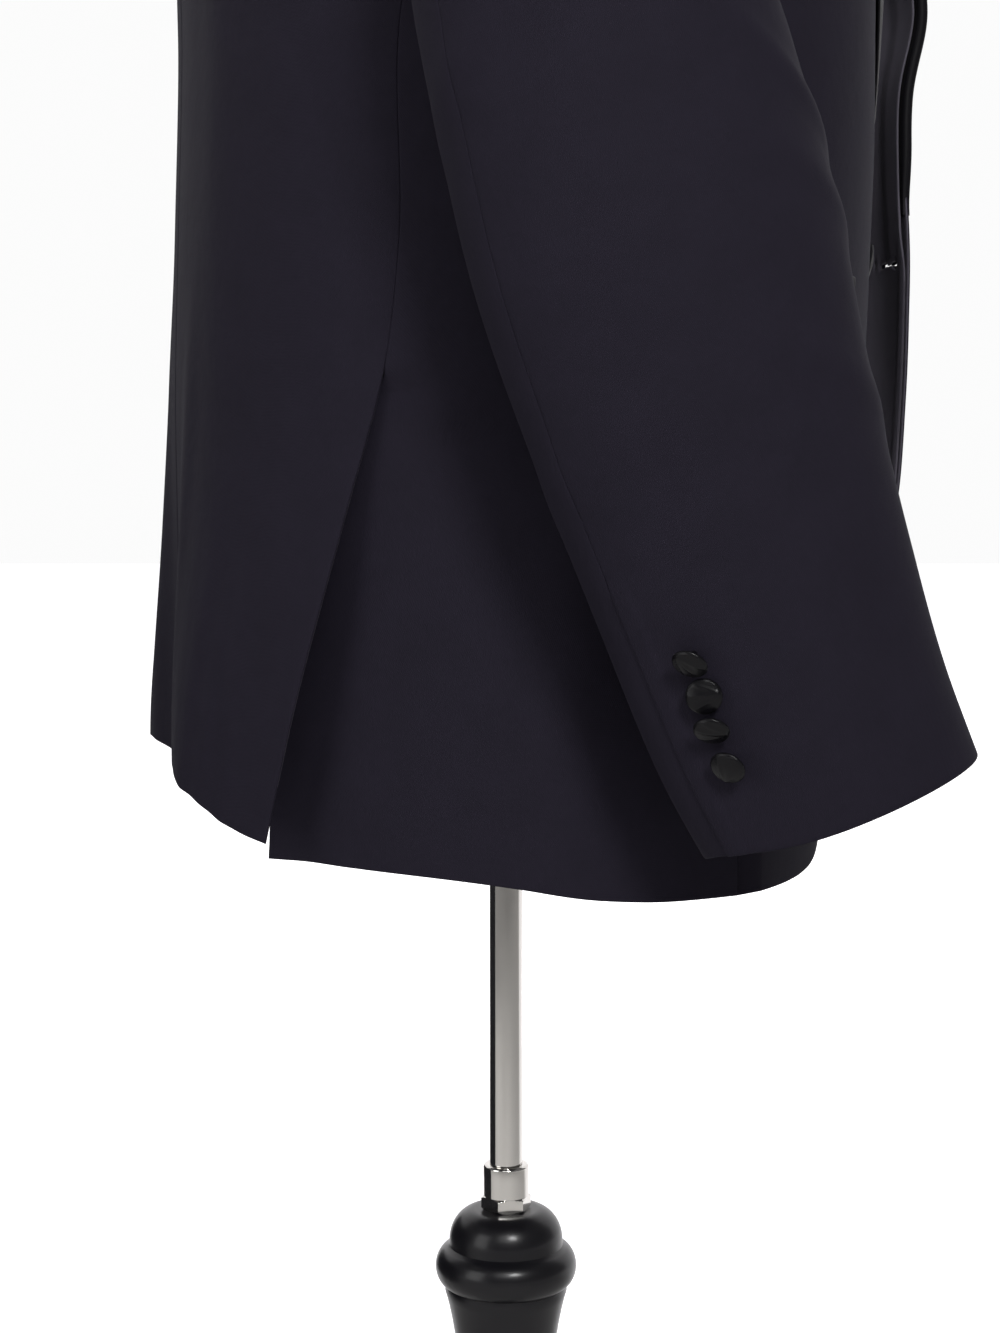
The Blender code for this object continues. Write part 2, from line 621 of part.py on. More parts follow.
def strip(name, middle, height, slope, length, depth, side, out, thickness, finish):
    """Small rectangle of cloth on the jacket's face, level but for its slope towards the front."""
    share = np.linspace(-0.5, 0.5, 7)[None, :]
    rise = np.linspace(0.0, 1.0, 2)[:, None]
    reach = radius(middle, height)
    angle = middle + share * length / reach + 0 * rise
    heights = height + rise * depth - share * slope * 2
    panel(name, np.stack([angle, heights], axis=-1), side, out=out, thickness=thickness, finish=finish, trim="")


def pockets():
    """Two jets at each hip and a welt on the left breast, laid on the fronts and the side seams."""
    for side, hand in ((1, "left"), (-1, "right")):
        for name, height in (("jet_upper_", POCKET_HEIGHT), ("jet_lower_", POCKET_HEIGHT - JET_DEPTH - 0.0006)):
            strip(name + hand, POCKET_MIDDLE, height, POCKET_SLOPE, JET_LENGTH, JET_DEPTH, side, 0.0021, 0.0014,
                  "satin")
    strip("breast_welt", WELT_MIDDLE, WELT_HEIGHT, -0.006, WELT_LENGTH, WELT_DEPTH, 1, 0.0024, 0.0016, "wool")


def turned(name, profile, sides, finish, base=(0.0, 0.0, 0.0), axis=(0.0, 0.0, 1.0)):
    """Solid turned about an axis: the profile gives radius and height from its foot to its top."""
    profile = np.asarray(profile, dtype=float)
    axis = np.asarray(axis, dtype=float) / np.linalg.norm(axis)
    helper = np.array([1.0, 0.0, 0.0]) if abs(axis[0]) < 0.9 else np.array([0.0, 1.0, 0.0])
    across = np.cross(axis, helper)
    across /= np.linalg.norm(across)
    along = np.cross(axis, across)
    turn = np.arange(sides) * 2 * np.pi / sides
    ring = np.cos(turn)[:, None] * across + np.sin(turn)[:, None] * along
    rings = profile[:, 0]
    points = (np.asarray(base) + rings[:, None, None] * ring + profile[:, 1][:, None, None] * axis).reshape(-1, 3)
    foot = np.asarray(base) + profile[0, 1] * axis
    head = np.asarray(base) + profile[-1, 1] * axis
    faces = []
    for r in range(len(profile) - 1):
        for c in range(sides):
            a, b = r * sides + c, r * sides + (c + 1) % sides
            faces.append((a, b, b + sides, a + sides))
    last = (len(profile) - 1) * sides
    count = len(points)
    for c in range(sides):
        faces.append((count, (c + 1) % sides, c))
        faces.append((count + 1, last + c, last + (c + 1) % sides))
    return add_mesh(name, np.concatenate([points, [foot, head]]), faces, finish)


def arc(centre, radii, start, stop, count):
    """(radius, height) points of an ellipse's arc, by its centre, half sizes and degrees."""
    turn = np.radians(np.linspace(start, stop, count))
    return list(zip(centre[0] + radii[0] * np.cos(turn), centre[1] + radii[1] * np.sin(turn)))


def button(name, place, normal, lean, size):
    """Covered button, a domed disc on a thin shank that leans off the cloth's normal without touching it."""
    axis = (normal + lean) / np.linalg.norm(normal + lean)
    cosine = axis @ normal
    sine = np.sqrt(1 - cosine ** 2)
    lift = BUTTON_LIFT + (BUTTON_BACK * size - SHANK_RADIUS) * sine / cosine
    foot = place + (SEAM_GAP + SHANK_RADIUS * sine) * normal - lift * (axis - cosine * normal)
    profile = [(SHANK_RADIUS, 0.0), (SHANK_RADIUS, lift), (size * BUTTON_BACK, lift), (size, lift + 0.0013)]
    profile += [(size * 0.90, lift + 0.0027), (size * 0.55, lift + 0.0038)]
    return turned(name, profile, 16, "satin", foot, axis)


def sleeve_point(turn, height, side):
    """Point and outward normal of the lower sleeve."""
    step = 1e-4
    point = sleeve_section(np.array(turn), np.array(height), side)
    round_it = sleeve_section(np.array(turn + step), np.array(height), side) - point
    up_it = sleeve_section(np.array(turn), np.array(height + step), side) - point
    normal = np.cross(round_it, up_it)
    normal /= np.linalg.norm(normal)
    centre = sleeve_frame(np.array(height))
    outward = point - np.array([side * centre[1], centre[0], height])
    return point, normal * np.sign(normal @ outward)


def buttons():
    """One button on the right front, and a close row before the hind seam of each cuff."""
    height = FRONT_BUTTON_HEIGHT
    edge = smooth(height, FRONT_EDGE[0], FRONT_EDGE[1])
    angle = front_angle(edge + FRONT_BUTTON_IN, height)
    button("front_button", body(angle, height, -1), body_normal(angle, height, -1), FRONT_BUTTON_LEAN,
           FRONT_BUTTON_RADIUS)
    for side, hand in ((1, "left"), (-1, "right")):
        for number, (height, before, forward, up) in enumerate(CUFF_BUTTONS):
            point, normal = sleeve_point(HIND_SEAM - np.radians(before), height, side)
            button(f"cuff_button_{hand}_{number + 1}", point, normal, np.array([0.0, -forward, up]),
                   CUFF_BUTTON_RADIUS)


def ring_stack(name, rings, finish):
    """Closed solid through rings of points, with a flat face at each end."""
    sides = len(rings[0])
    points = np.concatenate(rings)
    faces = []
    for r in range(len(rings) - 1):
        for c in range(sides):
            a, b = r * sides + c, r * sides + (c + 1) % sides
            faces.append((a, b, b + sides, a + sides))
    faces.append(tuple(range(sides)))
    faces.append(tuple(range(len(points) - sides, len(points))))
    return add_mesh(name, points, faces, finish)


def form_ring(height):
    """Section of the form's skin, drawn in from the jacket's plain section along its slope."""
    turn = np.arange(FORM_SIDES) * 2 * np.pi / FORM_SIDES
    angle = np.where(turn <= np.pi, turn, 2 * np.pi - turn)
    hand = np.where(turn <= np.pi, 1, -1)
    plain = radius(angle, height)
    slope = (radius(angle, height + 0.001) - radius(angle, height - 0.001)) / 0.002
    outward = np.stack([hand * np.sin(angle), np.cos(angle), -slope], axis=-1)
    outward /= np.linalg.norm(outward, axis=-1, keepdims=True)
    ring = np.stack([hand * plain * np.sin(angle), plain * np.cos(angle), height + 0 * plain], axis=-1)
    return ring - smooth(height, FORM[0], FORM[1]) * outward


def form_torso():
    """Limbless body inside the jacket with a round neck and a flat foot."""
    rings = [form_ring(height) for height in FORM_HEIGHTS]
    rings[0][:, 2] = FORM_FOOT
    neck = rings[-1].copy()
    neck[:, 2] = NECK_TOP
    ring_stack("form_torso", rings + [neck], "form_cloth")
    caps = []
    for share, rise in ((0.92, 0.0), (1.03, 0.004), (0.98, 0.011), (0.60, CAP_HEIGHT)):
        ring = neck * np.array([share, share, 1.0])
        ring[:, 2] = NECK_TOP + SEAM_GAP + rise
        caps.append(ring)
    ring_stack("neck_cap", caps, "black_wood")


def stand():
    """Rod, socket, nut, turned column and three curved legs."""
    turned("rod", [(ROD_RADIUS, SOCKET_TOP + SEAM_GAP), (ROD_RADIUS, FORM_FOOT - SEAM_GAP)], 20, "chrome")
    turned("rod_socket", [(SOCKET_RADIUS, NUT_TOP + SEAM_GAP), (SOCKET_RADIUS, SOCKET_TOP - 0.0015),
                          (SOCKET_RADIUS - 0.0015, SOCKET_TOP)], 20, "chrome")
    turned("lock_nut", [(NUT_RADIUS, COLUMN_TOP + SEAM_GAP), (NUT_RADIUS, NUT_TOP)], 6, "chrome")
    turned("column", column_profile(), 24, "black_wood")
    for number in range(LEG_COUNT):
        leg(number)


def column_profile():
    """Turned outline from the foot to the top: hub, ring, long neck, cove, bulge and dome."""
    outline = [(0.020, 0.088), (0.034, 0.098), (HUB_RADIUS, 0.115), (HUB_RADIUS, 0.186)]
    outline += arc((0.034, 0.200), (0.008, 0.010), -60, 60, 4)
    outline += [(0.0270, 0.222), (0.0240, 0.280), (0.0250, 0.360), (0.0289, 0.431), (0.0330, 0.452)]
    outline += arc((0.0310, 0.4714), (BULGE_RADIUS - 0.0310, 0.0115), -75, 75, 6)
    outline += arc((0.0175, 0.4855), (DOME_RADIUS - 0.0175, COLUMN_TOP - 0.4855), 0, 90, 5)
    return outline


def leg(number):
    """Curved leg with chamfered edges, swept outwards in an upright plane to a flat foot."""
    turn = np.radians(90.0) + number * 2 * np.pi / LEG_COUNT
    out = np.array([np.cos(turn), np.sin(turn), 0.0])
    across = np.array([-np.sin(turn), np.cos(turn), 0.0])
    up = np.array([0.0, 0.0, 1.0])
    reach = np.linspace(LEG[0][0], LEG[0][-1], 14)
    height = smooth(reach, LEG[0], LEG[1])
    half = smooth(reach, LEG[0], LEG[2])
    chamfer = 0.35
    corners = [(1, -1 + chamfer), (1, 1 - chamfer), (1 - chamfer, 1), (-1 + chamfer, 1), (-1, 1 - chamfer),
               (-1, -1 + chamfer), (-1 + chamfer, -1), (1 - chamfer, -1)]
    rings = []
    for r, h, s in zip(reach, height, half):
        ring = [out * r + across * LEG_HALF_WIDTH * a + up * max(0.0, h + s * b) for a, b in corners]
        rings.append(np.array(ring))
    ring_stack(f"leg_{number + 1}", rings, "black_wood")


clear_scene()
back_panels()
side_panels()
front_panels()
sleeves()
lapels()
collar_stand()
pockets()
buttons()
form_torso()
stand()
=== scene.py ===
"""Looks of the tuxedo jacket on its dress form: worsted, satin, chrome and lacquered wood.

Metres, +Z up. The jacket's front faces -Y and the wearer's right is -X. Each panel of cloth is a sheet on one
surface: angle runs round the rod from the centre back to the centre front on either side, with the height.
"""

import bpy
import numpy as np
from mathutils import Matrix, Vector


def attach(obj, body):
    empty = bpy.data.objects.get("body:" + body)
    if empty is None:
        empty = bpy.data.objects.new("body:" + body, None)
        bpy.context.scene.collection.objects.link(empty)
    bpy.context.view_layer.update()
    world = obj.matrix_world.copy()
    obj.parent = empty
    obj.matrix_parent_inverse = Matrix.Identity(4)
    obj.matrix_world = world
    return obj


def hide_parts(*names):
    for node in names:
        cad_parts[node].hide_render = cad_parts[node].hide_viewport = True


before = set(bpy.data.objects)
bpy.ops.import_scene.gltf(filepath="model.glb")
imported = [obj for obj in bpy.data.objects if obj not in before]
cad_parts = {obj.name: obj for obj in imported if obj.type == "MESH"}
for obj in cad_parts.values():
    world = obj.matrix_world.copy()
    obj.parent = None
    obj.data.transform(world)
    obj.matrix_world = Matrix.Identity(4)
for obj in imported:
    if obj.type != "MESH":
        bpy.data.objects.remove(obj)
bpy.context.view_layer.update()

# Cloth
WOOL = 0.0020
SATIN = 0.0015
EDGE_ROUND = 0.0011
SEAM_ROUND = 0.0009
FREE_EDGE_LEFT = 0.12
SEAM_LEFT = 0.55
END_STEPS = np.array([0.0, 0.12, 0.30, 0.58, 1.0])
LAY_GAP = 0.0008
FOOT_GAP = 0.0003

SECTION = np.array([
    # height, half_width, back_depth, front_depth, squareness
    (0.690, 0.211, 0.180, 0.152, 2.50),
    (0.760, 0.209, 0.180, 0.159, 2.50),
    (0.860, 0.206, 0.1793, 0.171, 2.50),
    (0.960, 0.203, 0.1798, 0.179, 2.50),
    (1.050, 0.201, 0.177, 0.183, 2.50),
    (1.140, 0.201, 0.174, 0.186, 2.50),
    (1.200, 0.203, 0.174, 0.184, 2.45),
    (1.270, 0.205, 0.168, 0.166, 2.40),
    (1.340, 0.207, 0.148, 0.134, 2.30),
    (1.390, 0.214, 0.120, 0.099, 2.20),
    (1.418, 0.222, 0.094, 0.071, 2.10),
    (1.435, 0.180, 0.081, 0.060, 2.10),
    (1.450, 0.128, 0.073, 0.055, 2.10),
    (1.463, 0.084, 0.068, 0.057, 2.10),
    (1.480, 0.078, 0.066, 0.061, 2.10),
    (1.500, 0.076, 0.065, 0.062, 2.10),
]).T
BACK_HEM = np.array([
    # angle in degrees, height
    (0, 0.765), (20, 0.769), (28, 0.7655), (32, 0.7618), (36, 0.7548), (40, 0.7494), (46, 0.7447),
]).T
SIDE_HEM = np.array([
    # angle in degrees, height
    (40.3, 0.7315), (50, 0.7333), (60, 0.7330), (70, 0.7312), (80, 0.7272), (90, 0.7212), (96, 0.7192),
    (110, 0.7185),
]).T
BACK_SEAM = np.array([
    # height, angle in degrees
    (0.745, 46.0), (0.823, 51.5), (0.911, 57.6), (0.981, 62.5), (1.030, 64.0), (1.140, 64.5), (1.240, 72.8),
]).T
UNDERLAP = np.array([
    # height, angle in degrees
    (0.7315, 40.3), (0.745, 40.5), (0.770, 41.0), (0.800, 42.0), (0.870, 47.0), (0.930, 54.0),
]).T
FRONT_SEAM = np.array([
    # height, angle in degrees
    (0.7185, 110.0), (0.900, 110.0), (1.140, 109.0), (1.215, 101.5),
]).T
FRONT_HEM = np.array([
    # distance from the centre, height
    (0.1890, 0.7185), (0.1700, 0.7190), (0.1560, 0.7203), (0.1430, 0.7235), (0.1300, 0.7310),
    (0.1150, 0.7480),
]).T
FRONT_EDGE = np.array([
    # height, distance from the centre
    (0.748, 0.1150), (0.800, 0.0840), (0.860, 0.0550), (0.930, 0.0310), (1.000, 0.0150), (1.040, 0.0110),
    (1.090, 0.0180), (1.170, 0.0330), (1.250, 0.0480), (1.350, 0.0640), (1.420, 0.0745), (1.450, 0.0790),
    (1.463, 0.0840),
]).T
SWING = np.array([
    # height, left, right
    (0.740, 0.078, 0.005), (0.840, 0.076, 0.006), (0.900, 0.070, 0.006), (0.960, 0.062, 0.006),
    (1.020, 0.056, 0.006), (1.080, 0.053, 0.005), (1.130, 0.0545, 0.002), (1.180, 0.067, 0.002),
    (1.250, 0.060, 0.002), (1.320, 0.028, 0.001), (1.390, 0.000, 0.000),
]).T
SWING_START = 1.95
SWING_END = 2.95
RIGHT_SWING_LATER = 0.35

# Vent: each fade starts and stops at a height, and across the panel at a share of its width, or for the
# step at radians past the seam
VENT_TOP = 0.975
VENT_OPEN_BELOW = VENT_TOP - 0.004
VENT_FLARE = 0.010
FLARE_ACROSS = (0.45, 1.0)
FLARE_FADE = (0.80, VENT_TOP - 0.010)
VENT_RECESS = 0.013
RECESS_ACROSS = (0.15, 0.75)
RECESS_FADE = (0.78, VENT_TOP + 0.02)
VENT_STEP = 0.0045
STEP_ACROSS = (-0.030, 0.160)
STEP_FADE = (VENT_TOP - 0.014, VENT_TOP)
UNDERLAP_FADE = (VENT_TOP - 0.022, VENT_TOP - 0.006)
LOBE_ANGLE = np.radians(26.0)
LOBE_SPREAD = np.radians(13.0)
LOBE_RISE = 0.0165
LOBE_FADE = (0.770, 0.965)
CENTRE_PRESS = 0.0007
CENTRE_PRESS_SPREAD = 0.011

# Rows and columns of each panel's grid, and how far its hem is turned up inside
BACK_CELLS = (230, 90)
SIDE_CELLS = (210, 84)
FRONT_CELLS = (230, 96)
SHAWL_CELLS = (200, 60)
TOP_SLEEVE_COLUMNS = 120
UNDER_SLEEVE_COLUMNS = 84
CROWN_ROWS = 64
LOWER_SLEEVE_ROWS = 149
BODY_TURN_UP = 0.032
FRONT_TURN_UP = 0.030
CUFF_TURN_UP = 0.038

ARMHOLE_MIDDLE = 1.3025
ARMHOLE_HALF_HEIGHT = 0.1155
ARMHOLE_BACK = 0.068
ARMHOLE_FRONT = 0.058
ARMHOLE_FULLNESS = 0.12
ARMHOLE_GAP = 0.0004
HIND_TURN = 1.83
BACK_JOIN = 2.142
FRONT_JOIN = 3.853
FORE_TURN = FRONT_JOIN + (2 * np.pi - FRONT_JOIN) / 7

SLEEVE = np.array([
    # height, forward_y, out_x, half_depth, half_width, fall of the section towards the back
    (1.175, 0.0255, 0.2630, 0.0760, 0.0560, 0.138),
    (1.146, 0.0210, 0.2630, 0.0775, 0.0560, 0.180),
    (1.090, 0.0060, 0.2640, 0.0820, 0.0540, 0.262),
    (1.030, -0.0105, 0.2650, 0.0845, 0.0520, 0.283),
    (0.948, -0.0345, 0.2660, 0.0792, 0.0470, 0.323),
    (0.870, -0.0615, 0.2670, 0.0732, 0.0420, 0.370),
    (0.807, -0.0855, 0.2680, 0.0692, 0.0385, 0.405),
    (0.7715, -0.1024, 0.2680, 0.0670, 0.0370, 0.385),
]).T
HIND_SEAM = np.radians(67.0)
FORE_SEAM = np.radians(245.0)

# Handles of the crown's curve, out of the armhole and up from the sleeve: at the underarm, and what the
# shoulder adds
CROWN_OUT = (0.006, 0.045)
CROWN_DOWN = (0.006, 0.135)
CROWN_BLEND_ROWS = 10
CROWN_BLEND_PASSES = 24

SHAWL = np.array([
    # height and distance from the centre of the roll, height and distance of the outer edge
    (1.062, 0.0135, 1.066, 0.0230),
    (1.100, 0.0198, 1.096, 0.0560),
    (1.150, 0.0290, 1.140, 0.0860),
    (1.210, 0.0405, 1.195, 0.1100),
    (1.280, 0.0530, 1.265, 0.1260),
    (1.350, 0.0640, 1.335, 0.1320),
    (1.405, 0.0720, 1.395, 0.1308),
    (1.440, 0.0770, 1.432, 0.1280),
]).T
FALL = np.array([
    # angle in degrees, height of the fold, height of the outer edge
    (90, 1.4780, 1.4500), (60, 1.4820, 1.4420), (30, 1.4860, 1.4340), (0, 1.4870, 1.4310),
]).T
NECKLINE = np.array([
    # angle in degrees, height
    (0, 1.4520), (45, 1.4550), (90, 1.4630),
]).T
BAND_BELOW_FOLD = 0.002
BAND_UNDER_FACE = 0.0005
NECK_LIFT = 0.0025
NECK_LIFT_FADE = (1.400, 1.450)
LAPEL_BELLY = 0.0035
ROLL_ROOM = 0.0022
LAPEL_ROOM = 0.0026
LAPEL_FOOT = (1.062, 1.105)
ROLL_OPENS = (1.055, 1.095)
ROLL_TUCK = 0.013
ROLL_BEHIND = 0.0006
ROLL_REACH = (0.30, 0.45)
NECK_EVENING_PASSES = 110
NECK_EVENING_FADE = (1.375, 1.410)
NECK_EVENING_ANGLES = np.radians([62.0, 92.0])
NECK_CLEARANCE = 0.0012
FACING_TOP = 1.340
FACING_START = 0.66
FACING_PAST_EDGE = 0.0006
FACING_PAST_EDGE_AT_ROLL = 0.0018
FACING_GAP = 0.0005
FACING_GAP_FADE = (0.001, 0.005)
FACING_PRESS = 0.0006
FACING_PRESS_FADE = (0.0055, 0.0080)
UNDER_ROLL = (1.028, 1.056)
UNDER_ROLL_FADE = (0.0145, 0.0280)

# Keyhole buttonhole of the left front, by its distances in from the free edge
BUTTONHOLE_HEIGHT = 1.036
BUTTONHOLE_START = 0.0125
BUTTONHOLE_END = 0.0400
BUTTONHOLE_BAR = 0.0011
BUTTONHOLE_EYE = 0.0026
BUTTONHOLE_RIM = 0.0022
BUTTONHOLE_CLEARED = 0.0042
STITCHING_IN = 0.0017
STITCHING_OVAL = (0.0006, 0.0021)
EYE_REACH = 1.3
EYE_SWELL = 0.55
EYE_END = 0.003
BUTTONHOLE_ROWS = np.array([-0.0040, -0.0031, -0.0022, -0.0011, 0.0, 0.0011, 0.0022, 0.0031, 0.0040])

# Soft ridges that the cloth hangs in, by side +1 for the wearer's left
RIDGES = np.array([
    # side, angle at the foot, angle at the top, foot height, top height, half width in degrees, rise
    (-1, 33.0, 37.0, 0.740, 0.860, 2.0, 0.0011),
    (-1, 38.0, 40.5, 0.740, 0.880, 1.8, 0.0009),
    (-1, 28.0, 33.0, 0.740, 0.900, 2.2, 0.0010),
    (-1, 12.0, 20.0, 0.740, 1.020, 5.0, 0.0030),
    (1, 34.0, 30.0, 0.740, 0.900, 3.0, 0.0026),
    (1, 14.0, 20.0, 0.740, 1.020, 5.5, 0.0034),
    (-1, 84.0, 92.0, 0.700, 1.080, 6.0, 0.0026),
    (1, 82.0, 92.0, 0.700, 1.080, 6.0, 0.0026),
    (1, 132.0, 120.0, 0.760, 1.060, 6.0, 0.0030),
    (1, 150.0, 158.0, 0.800, 1.040, 5.0, -0.0026),
    (-1, 134.0, 122.0, 0.760, 1.060, 6.0, 0.0026),
    (-1, 30.0, 52.0, 1.300, 1.380, 7.0, 0.0024),
    (1, 30.0, 52.0, 1.300, 1.380, 7.0, 0.0024),
    (1, 112.0, 128.0, 1.240, 1.350, 6.0, 0.0028),
    (-1, 112.0, 128.0, 1.240, 1.350, 6.0, 0.0028),
])
DEGREES_IN_RADIAN = 57.3
# Soft folds across the sleeve, by where they lie round it and down it
SLEEVE_RIDGES = np.array([
    # turn in degrees, height there, slope in metres per radian, half width, spread in degrees, rise
    (290.0, 1.085, 0.055, 0.0100, 55.0, 0.0024),
    (270.0, 1.030, 0.040, 0.0110, 50.0, 0.0020),
    (300.0, 0.965, 0.030, 0.0120, 60.0, 0.0016),
    (40.0, 1.120, -0.050, 0.0130, 50.0, 0.0018),
    (330.0, 1.170, 0.050, 0.0140, 45.0, 0.0018),
    (60.0, 0.930, -0.030, 0.0140, 45.0, 0.0012),
    (102.0, 0.790, 0.000, 0.0900, 26.0, 0.0030),
])
ROPE = 0.0022
ROPE_AT = 0.008
ROPE_SPREAD = 0.006
CUFF_LAP = 0.0009
CUFF_LAP_WIDTH = 0.004
CUFF_LAP_TOP = (0.868, 0.880)
# How far the cuff's edge is drawn up before the hind seam
CUFF_LIFT = 0.0050
CUFF_LIFT_TURN = 72.0
CUFF_LIFT_SPREAD = 36.0

# Trimmings
FRONT_BUTTON_RADIUS = 0.0115
FRONT_BUTTON_HEIGHT = 1.032
FRONT_BUTTON_IN = 0.0270
CUFF_BUTTON_RADIUS = 0.0082
BUTTON_BACK = 0.88
BUTTON_LIFT = 0.0018
BUTTON_GAP = 0.0002
BUTTON_EDGE = 0.0023
BUTTON_DOME = 0.0016
SHANK_RADIUS = 0.0018
CUFF_BUTTONS = np.array([
    # height, degrees before the hind seam, lean forward, lean up
    (0.8163, 24.8, -0.40, -0.50),
    (0.8334, 24.4, 0.00, -0.75),
    (0.8465, 25.7, 0.08, 0.05),
    (0.8621, 26.2, -0.35, -0.90),
])
FRONT_BUTTON_LEAN = np.array([-0.24, 0.0, -0.17])
# Folds of a button's cover: turn in radians, distance from the middle by the radius, half width, rise
FRONT_BUTTON_FOLDS = ((0.6, 0.2, 0.0020, 0.0003),)
CUFF_BUTTON_FOLDS = (
    (0.7, 0.10, 0.0013, 0.00035),
    (1.1, -0.35, 0.0010, 0.00025),
    (0.3, 0.50, 0.0010, 0.00020),
)
NEXT_BUTTON_TURN = 1.3
STRIP_SWELL = 0.0005
STRIP_ROUND = 0.0008
JET_LENGTH = 0.139
JET_DEPTH = 0.0055
JET_GAP = 0.0004
JET_OUT = 0.0019
JET_THICKNESS = 0.0014
POCKET_HEIGHT = 1.020
POCKET_MIDDLE = np.radians(117.0)
POCKET_SLOPE = 0.006
WELT_LENGTH = 0.085
WELT_DEPTH = 0.023
WELT_HEIGHT = 1.232
WELT_SLOPE = -0.006
WELT_OUT = 0.0022
WELT_THICKNESS = 0.0016
WELT_MIDDLE = np.radians(124.0)

# Dress form
FORM = np.array([
    # height, inset
    (0.800, 0.060), (0.900, 0.050), (1.000, 0.040), (1.120, 0.028), (1.240, 0.016), (1.340, 0.0095),
    (1.390, 0.0070), (1.418, 0.0062), (1.450, 0.0062), (1.463, 0.0095), (1.480, 0.0150), (1.500, 0.0160),
]).T
FORM_FOOT = 0.800
FORM_NECK = 1.500
FORM_SIDES = 120
FORM_ROWS = ((FORM_FOOT, 1.380, 74), (1.384, 1.470, 30), (1.476, FORM_NECK, 8))
# Share of the reach and rise of each ring that rounds the foot, and rises of the rings of the neck
FOOT_ROUND = ((0.60, 0.0), (0.965, 0.0), (0.985, 0.0012), (0.997, 0.0042))
NECK_RISES = (0.012, 0.022, 0.0285, 0.0298)
NECK_TOP = 1.530
NECK_EDGE = 0.985
CAP_HEIGHT = 0.016
CAP_WAIST = 0.010
CAP_BEAD = (0.045, 0.0045)

# Stand
SEAT_GAP = 0.0002
ROD_RADIUS = 0.0092
SOCKET_RADIUS = 0.0128
SOCKET_TOP = 0.530
SOCKET_ROUND = 0.0016
SOCKET_GAP = 0.0003
NUT_RADIUS = 0.0143
NUT_TOP = 0.512
NUT_SIDES = 144
NUT_CHAMFER = 1.7
NUT_CHAMFER_START = 0.0002
COLUMN_TOP = 0.504
DOME_RADIUS = 0.0320
BULGE_RADIUS = 0.0398
HUB_RADIUS = 0.0400
COLUMN_NECK = [
    # radius, height
    (0.0305, 0.2125), (0.0270, 0.222), (0.0240, 0.280), (0.0250, 0.360), (0.0289, 0.431), (0.0330, 0.452),
    (0.0345, 0.4575),
]
LEG_COUNT = 3
LEG_HALF_WIDTH = 0.0125
LEG_SQUARENESS = 0.55
LEG_END_ROUND = 0.010
LEG_END_LEFT = 0.35
LEG = np.array([
    # reach from the rod, height, half_height
    (0.0405, 0.146, 0.0240), (0.0700, 0.152, 0.0215), (0.1050, 0.139, 0.0185), (0.1400, 0.105, 0.0160),
    (0.1750, 0.062, 0.0140), (0.2050, 0.029, 0.0125), (0.2300, 0.0120, 0.0120), (0.2550, 0.0110, 0.0110),
]).T

# Lamps: place, height on the rod that each aims at, width and height of its panel, watts
LAMPS = {
    "window": ((-2.05, -0.15, 2.15), 0.95, (0.5, 0.5), 33.0),
    "softbox": ((-2.2, 0.5, 2.2), 0.95, (1.4, 1.2), 9.0),
    "fill": ((-1.0, 2.2, 1.4), 0.95, (1.2, 1.8), 17.0),
    "top": ((0.2, 0.3, 3.2), 0.9, (2.2, 2.2), 15.0),
}
ROOM_LIGHT = 0.17
BACKDROP_LIGHT = 0.97
WALL_LIGHT = 0.58
WALL_GLOW = (WALL_LIGHT, 0.57, WALL_LIGHT, 1.0)
PAPER_WHITE = (0.92, 0.92, 0.925)
FLOOR_REACH = 14.0
WALL_HALF_WIDTH = 7.0
WALL_FOOT = 2.2
WALL_BEND = 1.2
WALL_TOP = 6.0
FLAG_HEIGHT = 0.95

# Camera, by where it stands round the rod, and the level directions away from it and to its left
CAMERA_AZIMUTH = np.radians(-102.0)
AWAY = np.array([-np.sin(CAMERA_AZIMUTH), np.cos(CAMERA_AZIMUTH), 0.0])
LEFT = np.array([-AWAY[1], AWAY[0], 0.0])
UP = np.array([0.0, 0.0, 1.0])
CAMERA_REACH = 1.375
CAMERA_HEIGHT = 0.954
CAMERA_PITCH = np.radians(5.9)
CAMERA_LENS = 67.5
CAMERA_SHIFT = -0.0045


def smooth(at, knots, values):
    """Cubic through the knots with averaged slopes, held level beyond both ends."""
    at = np.clip(at, knots[0], knots[-1])
    slopes = np.gradient(values, knots)
    cell = np.clip(np.searchsorted(knots, at) - 1, 0, len(knots) - 2)
    step = knots[cell + 1] - knots[cell]
    u = (at - knots[cell]) / step
    return ((1 + 2 * u) * (1 - u) ** 2 * values[cell] + u * (1 - u) ** 2 * step * slopes[cell]
            + u * u * (3 - 2 * u) * values[cell + 1] + u * u * (u - 1) * step * slopes[cell + 1])


def read(table, at, row=1):
    """A row of a table, smoothly between the places that its first row lists."""
    return smooth(at, table[0], table[row])


def paired(angle, height):
    """Points (angle, height) from two arrays or numbers."""
    return np.stack(np.broadcast_arrays(angle, height), axis=-1)


def smoothed_path(points, count):
    """Points at even shares of a smooth curve through the given points."""
    points = np.asarray(points, dtype=float)
    along = np.concatenate([[0.0], np.cumsum(np.linalg.norm(np.diff(points, axis=0), axis=1))])
    at = np.linspace(0.0, along[-1], count)
    return np.stack([smooth(at, along, column) for column in points.T], axis=-1)


def ease(value, start, stop):
    """0 before start, 1 after stop, and u*u*(3 - 2u) between."""
    u = np.clip((value - start) / (stop - start), 0.0, 1.0)
    return u * u * (3 - 2 * u)


def unit(vectors):
    """Vectors scaled to length one."""
    return vectors / np.maximum(np.linalg.norm(vectors, axis=-1, keepdims=True), 1e-12)


def section(height):
    """Half width, back depth, front depth and squareness of the jacket at a height."""
    return [read(SECTION, height, row) for row in range(1, 5)]


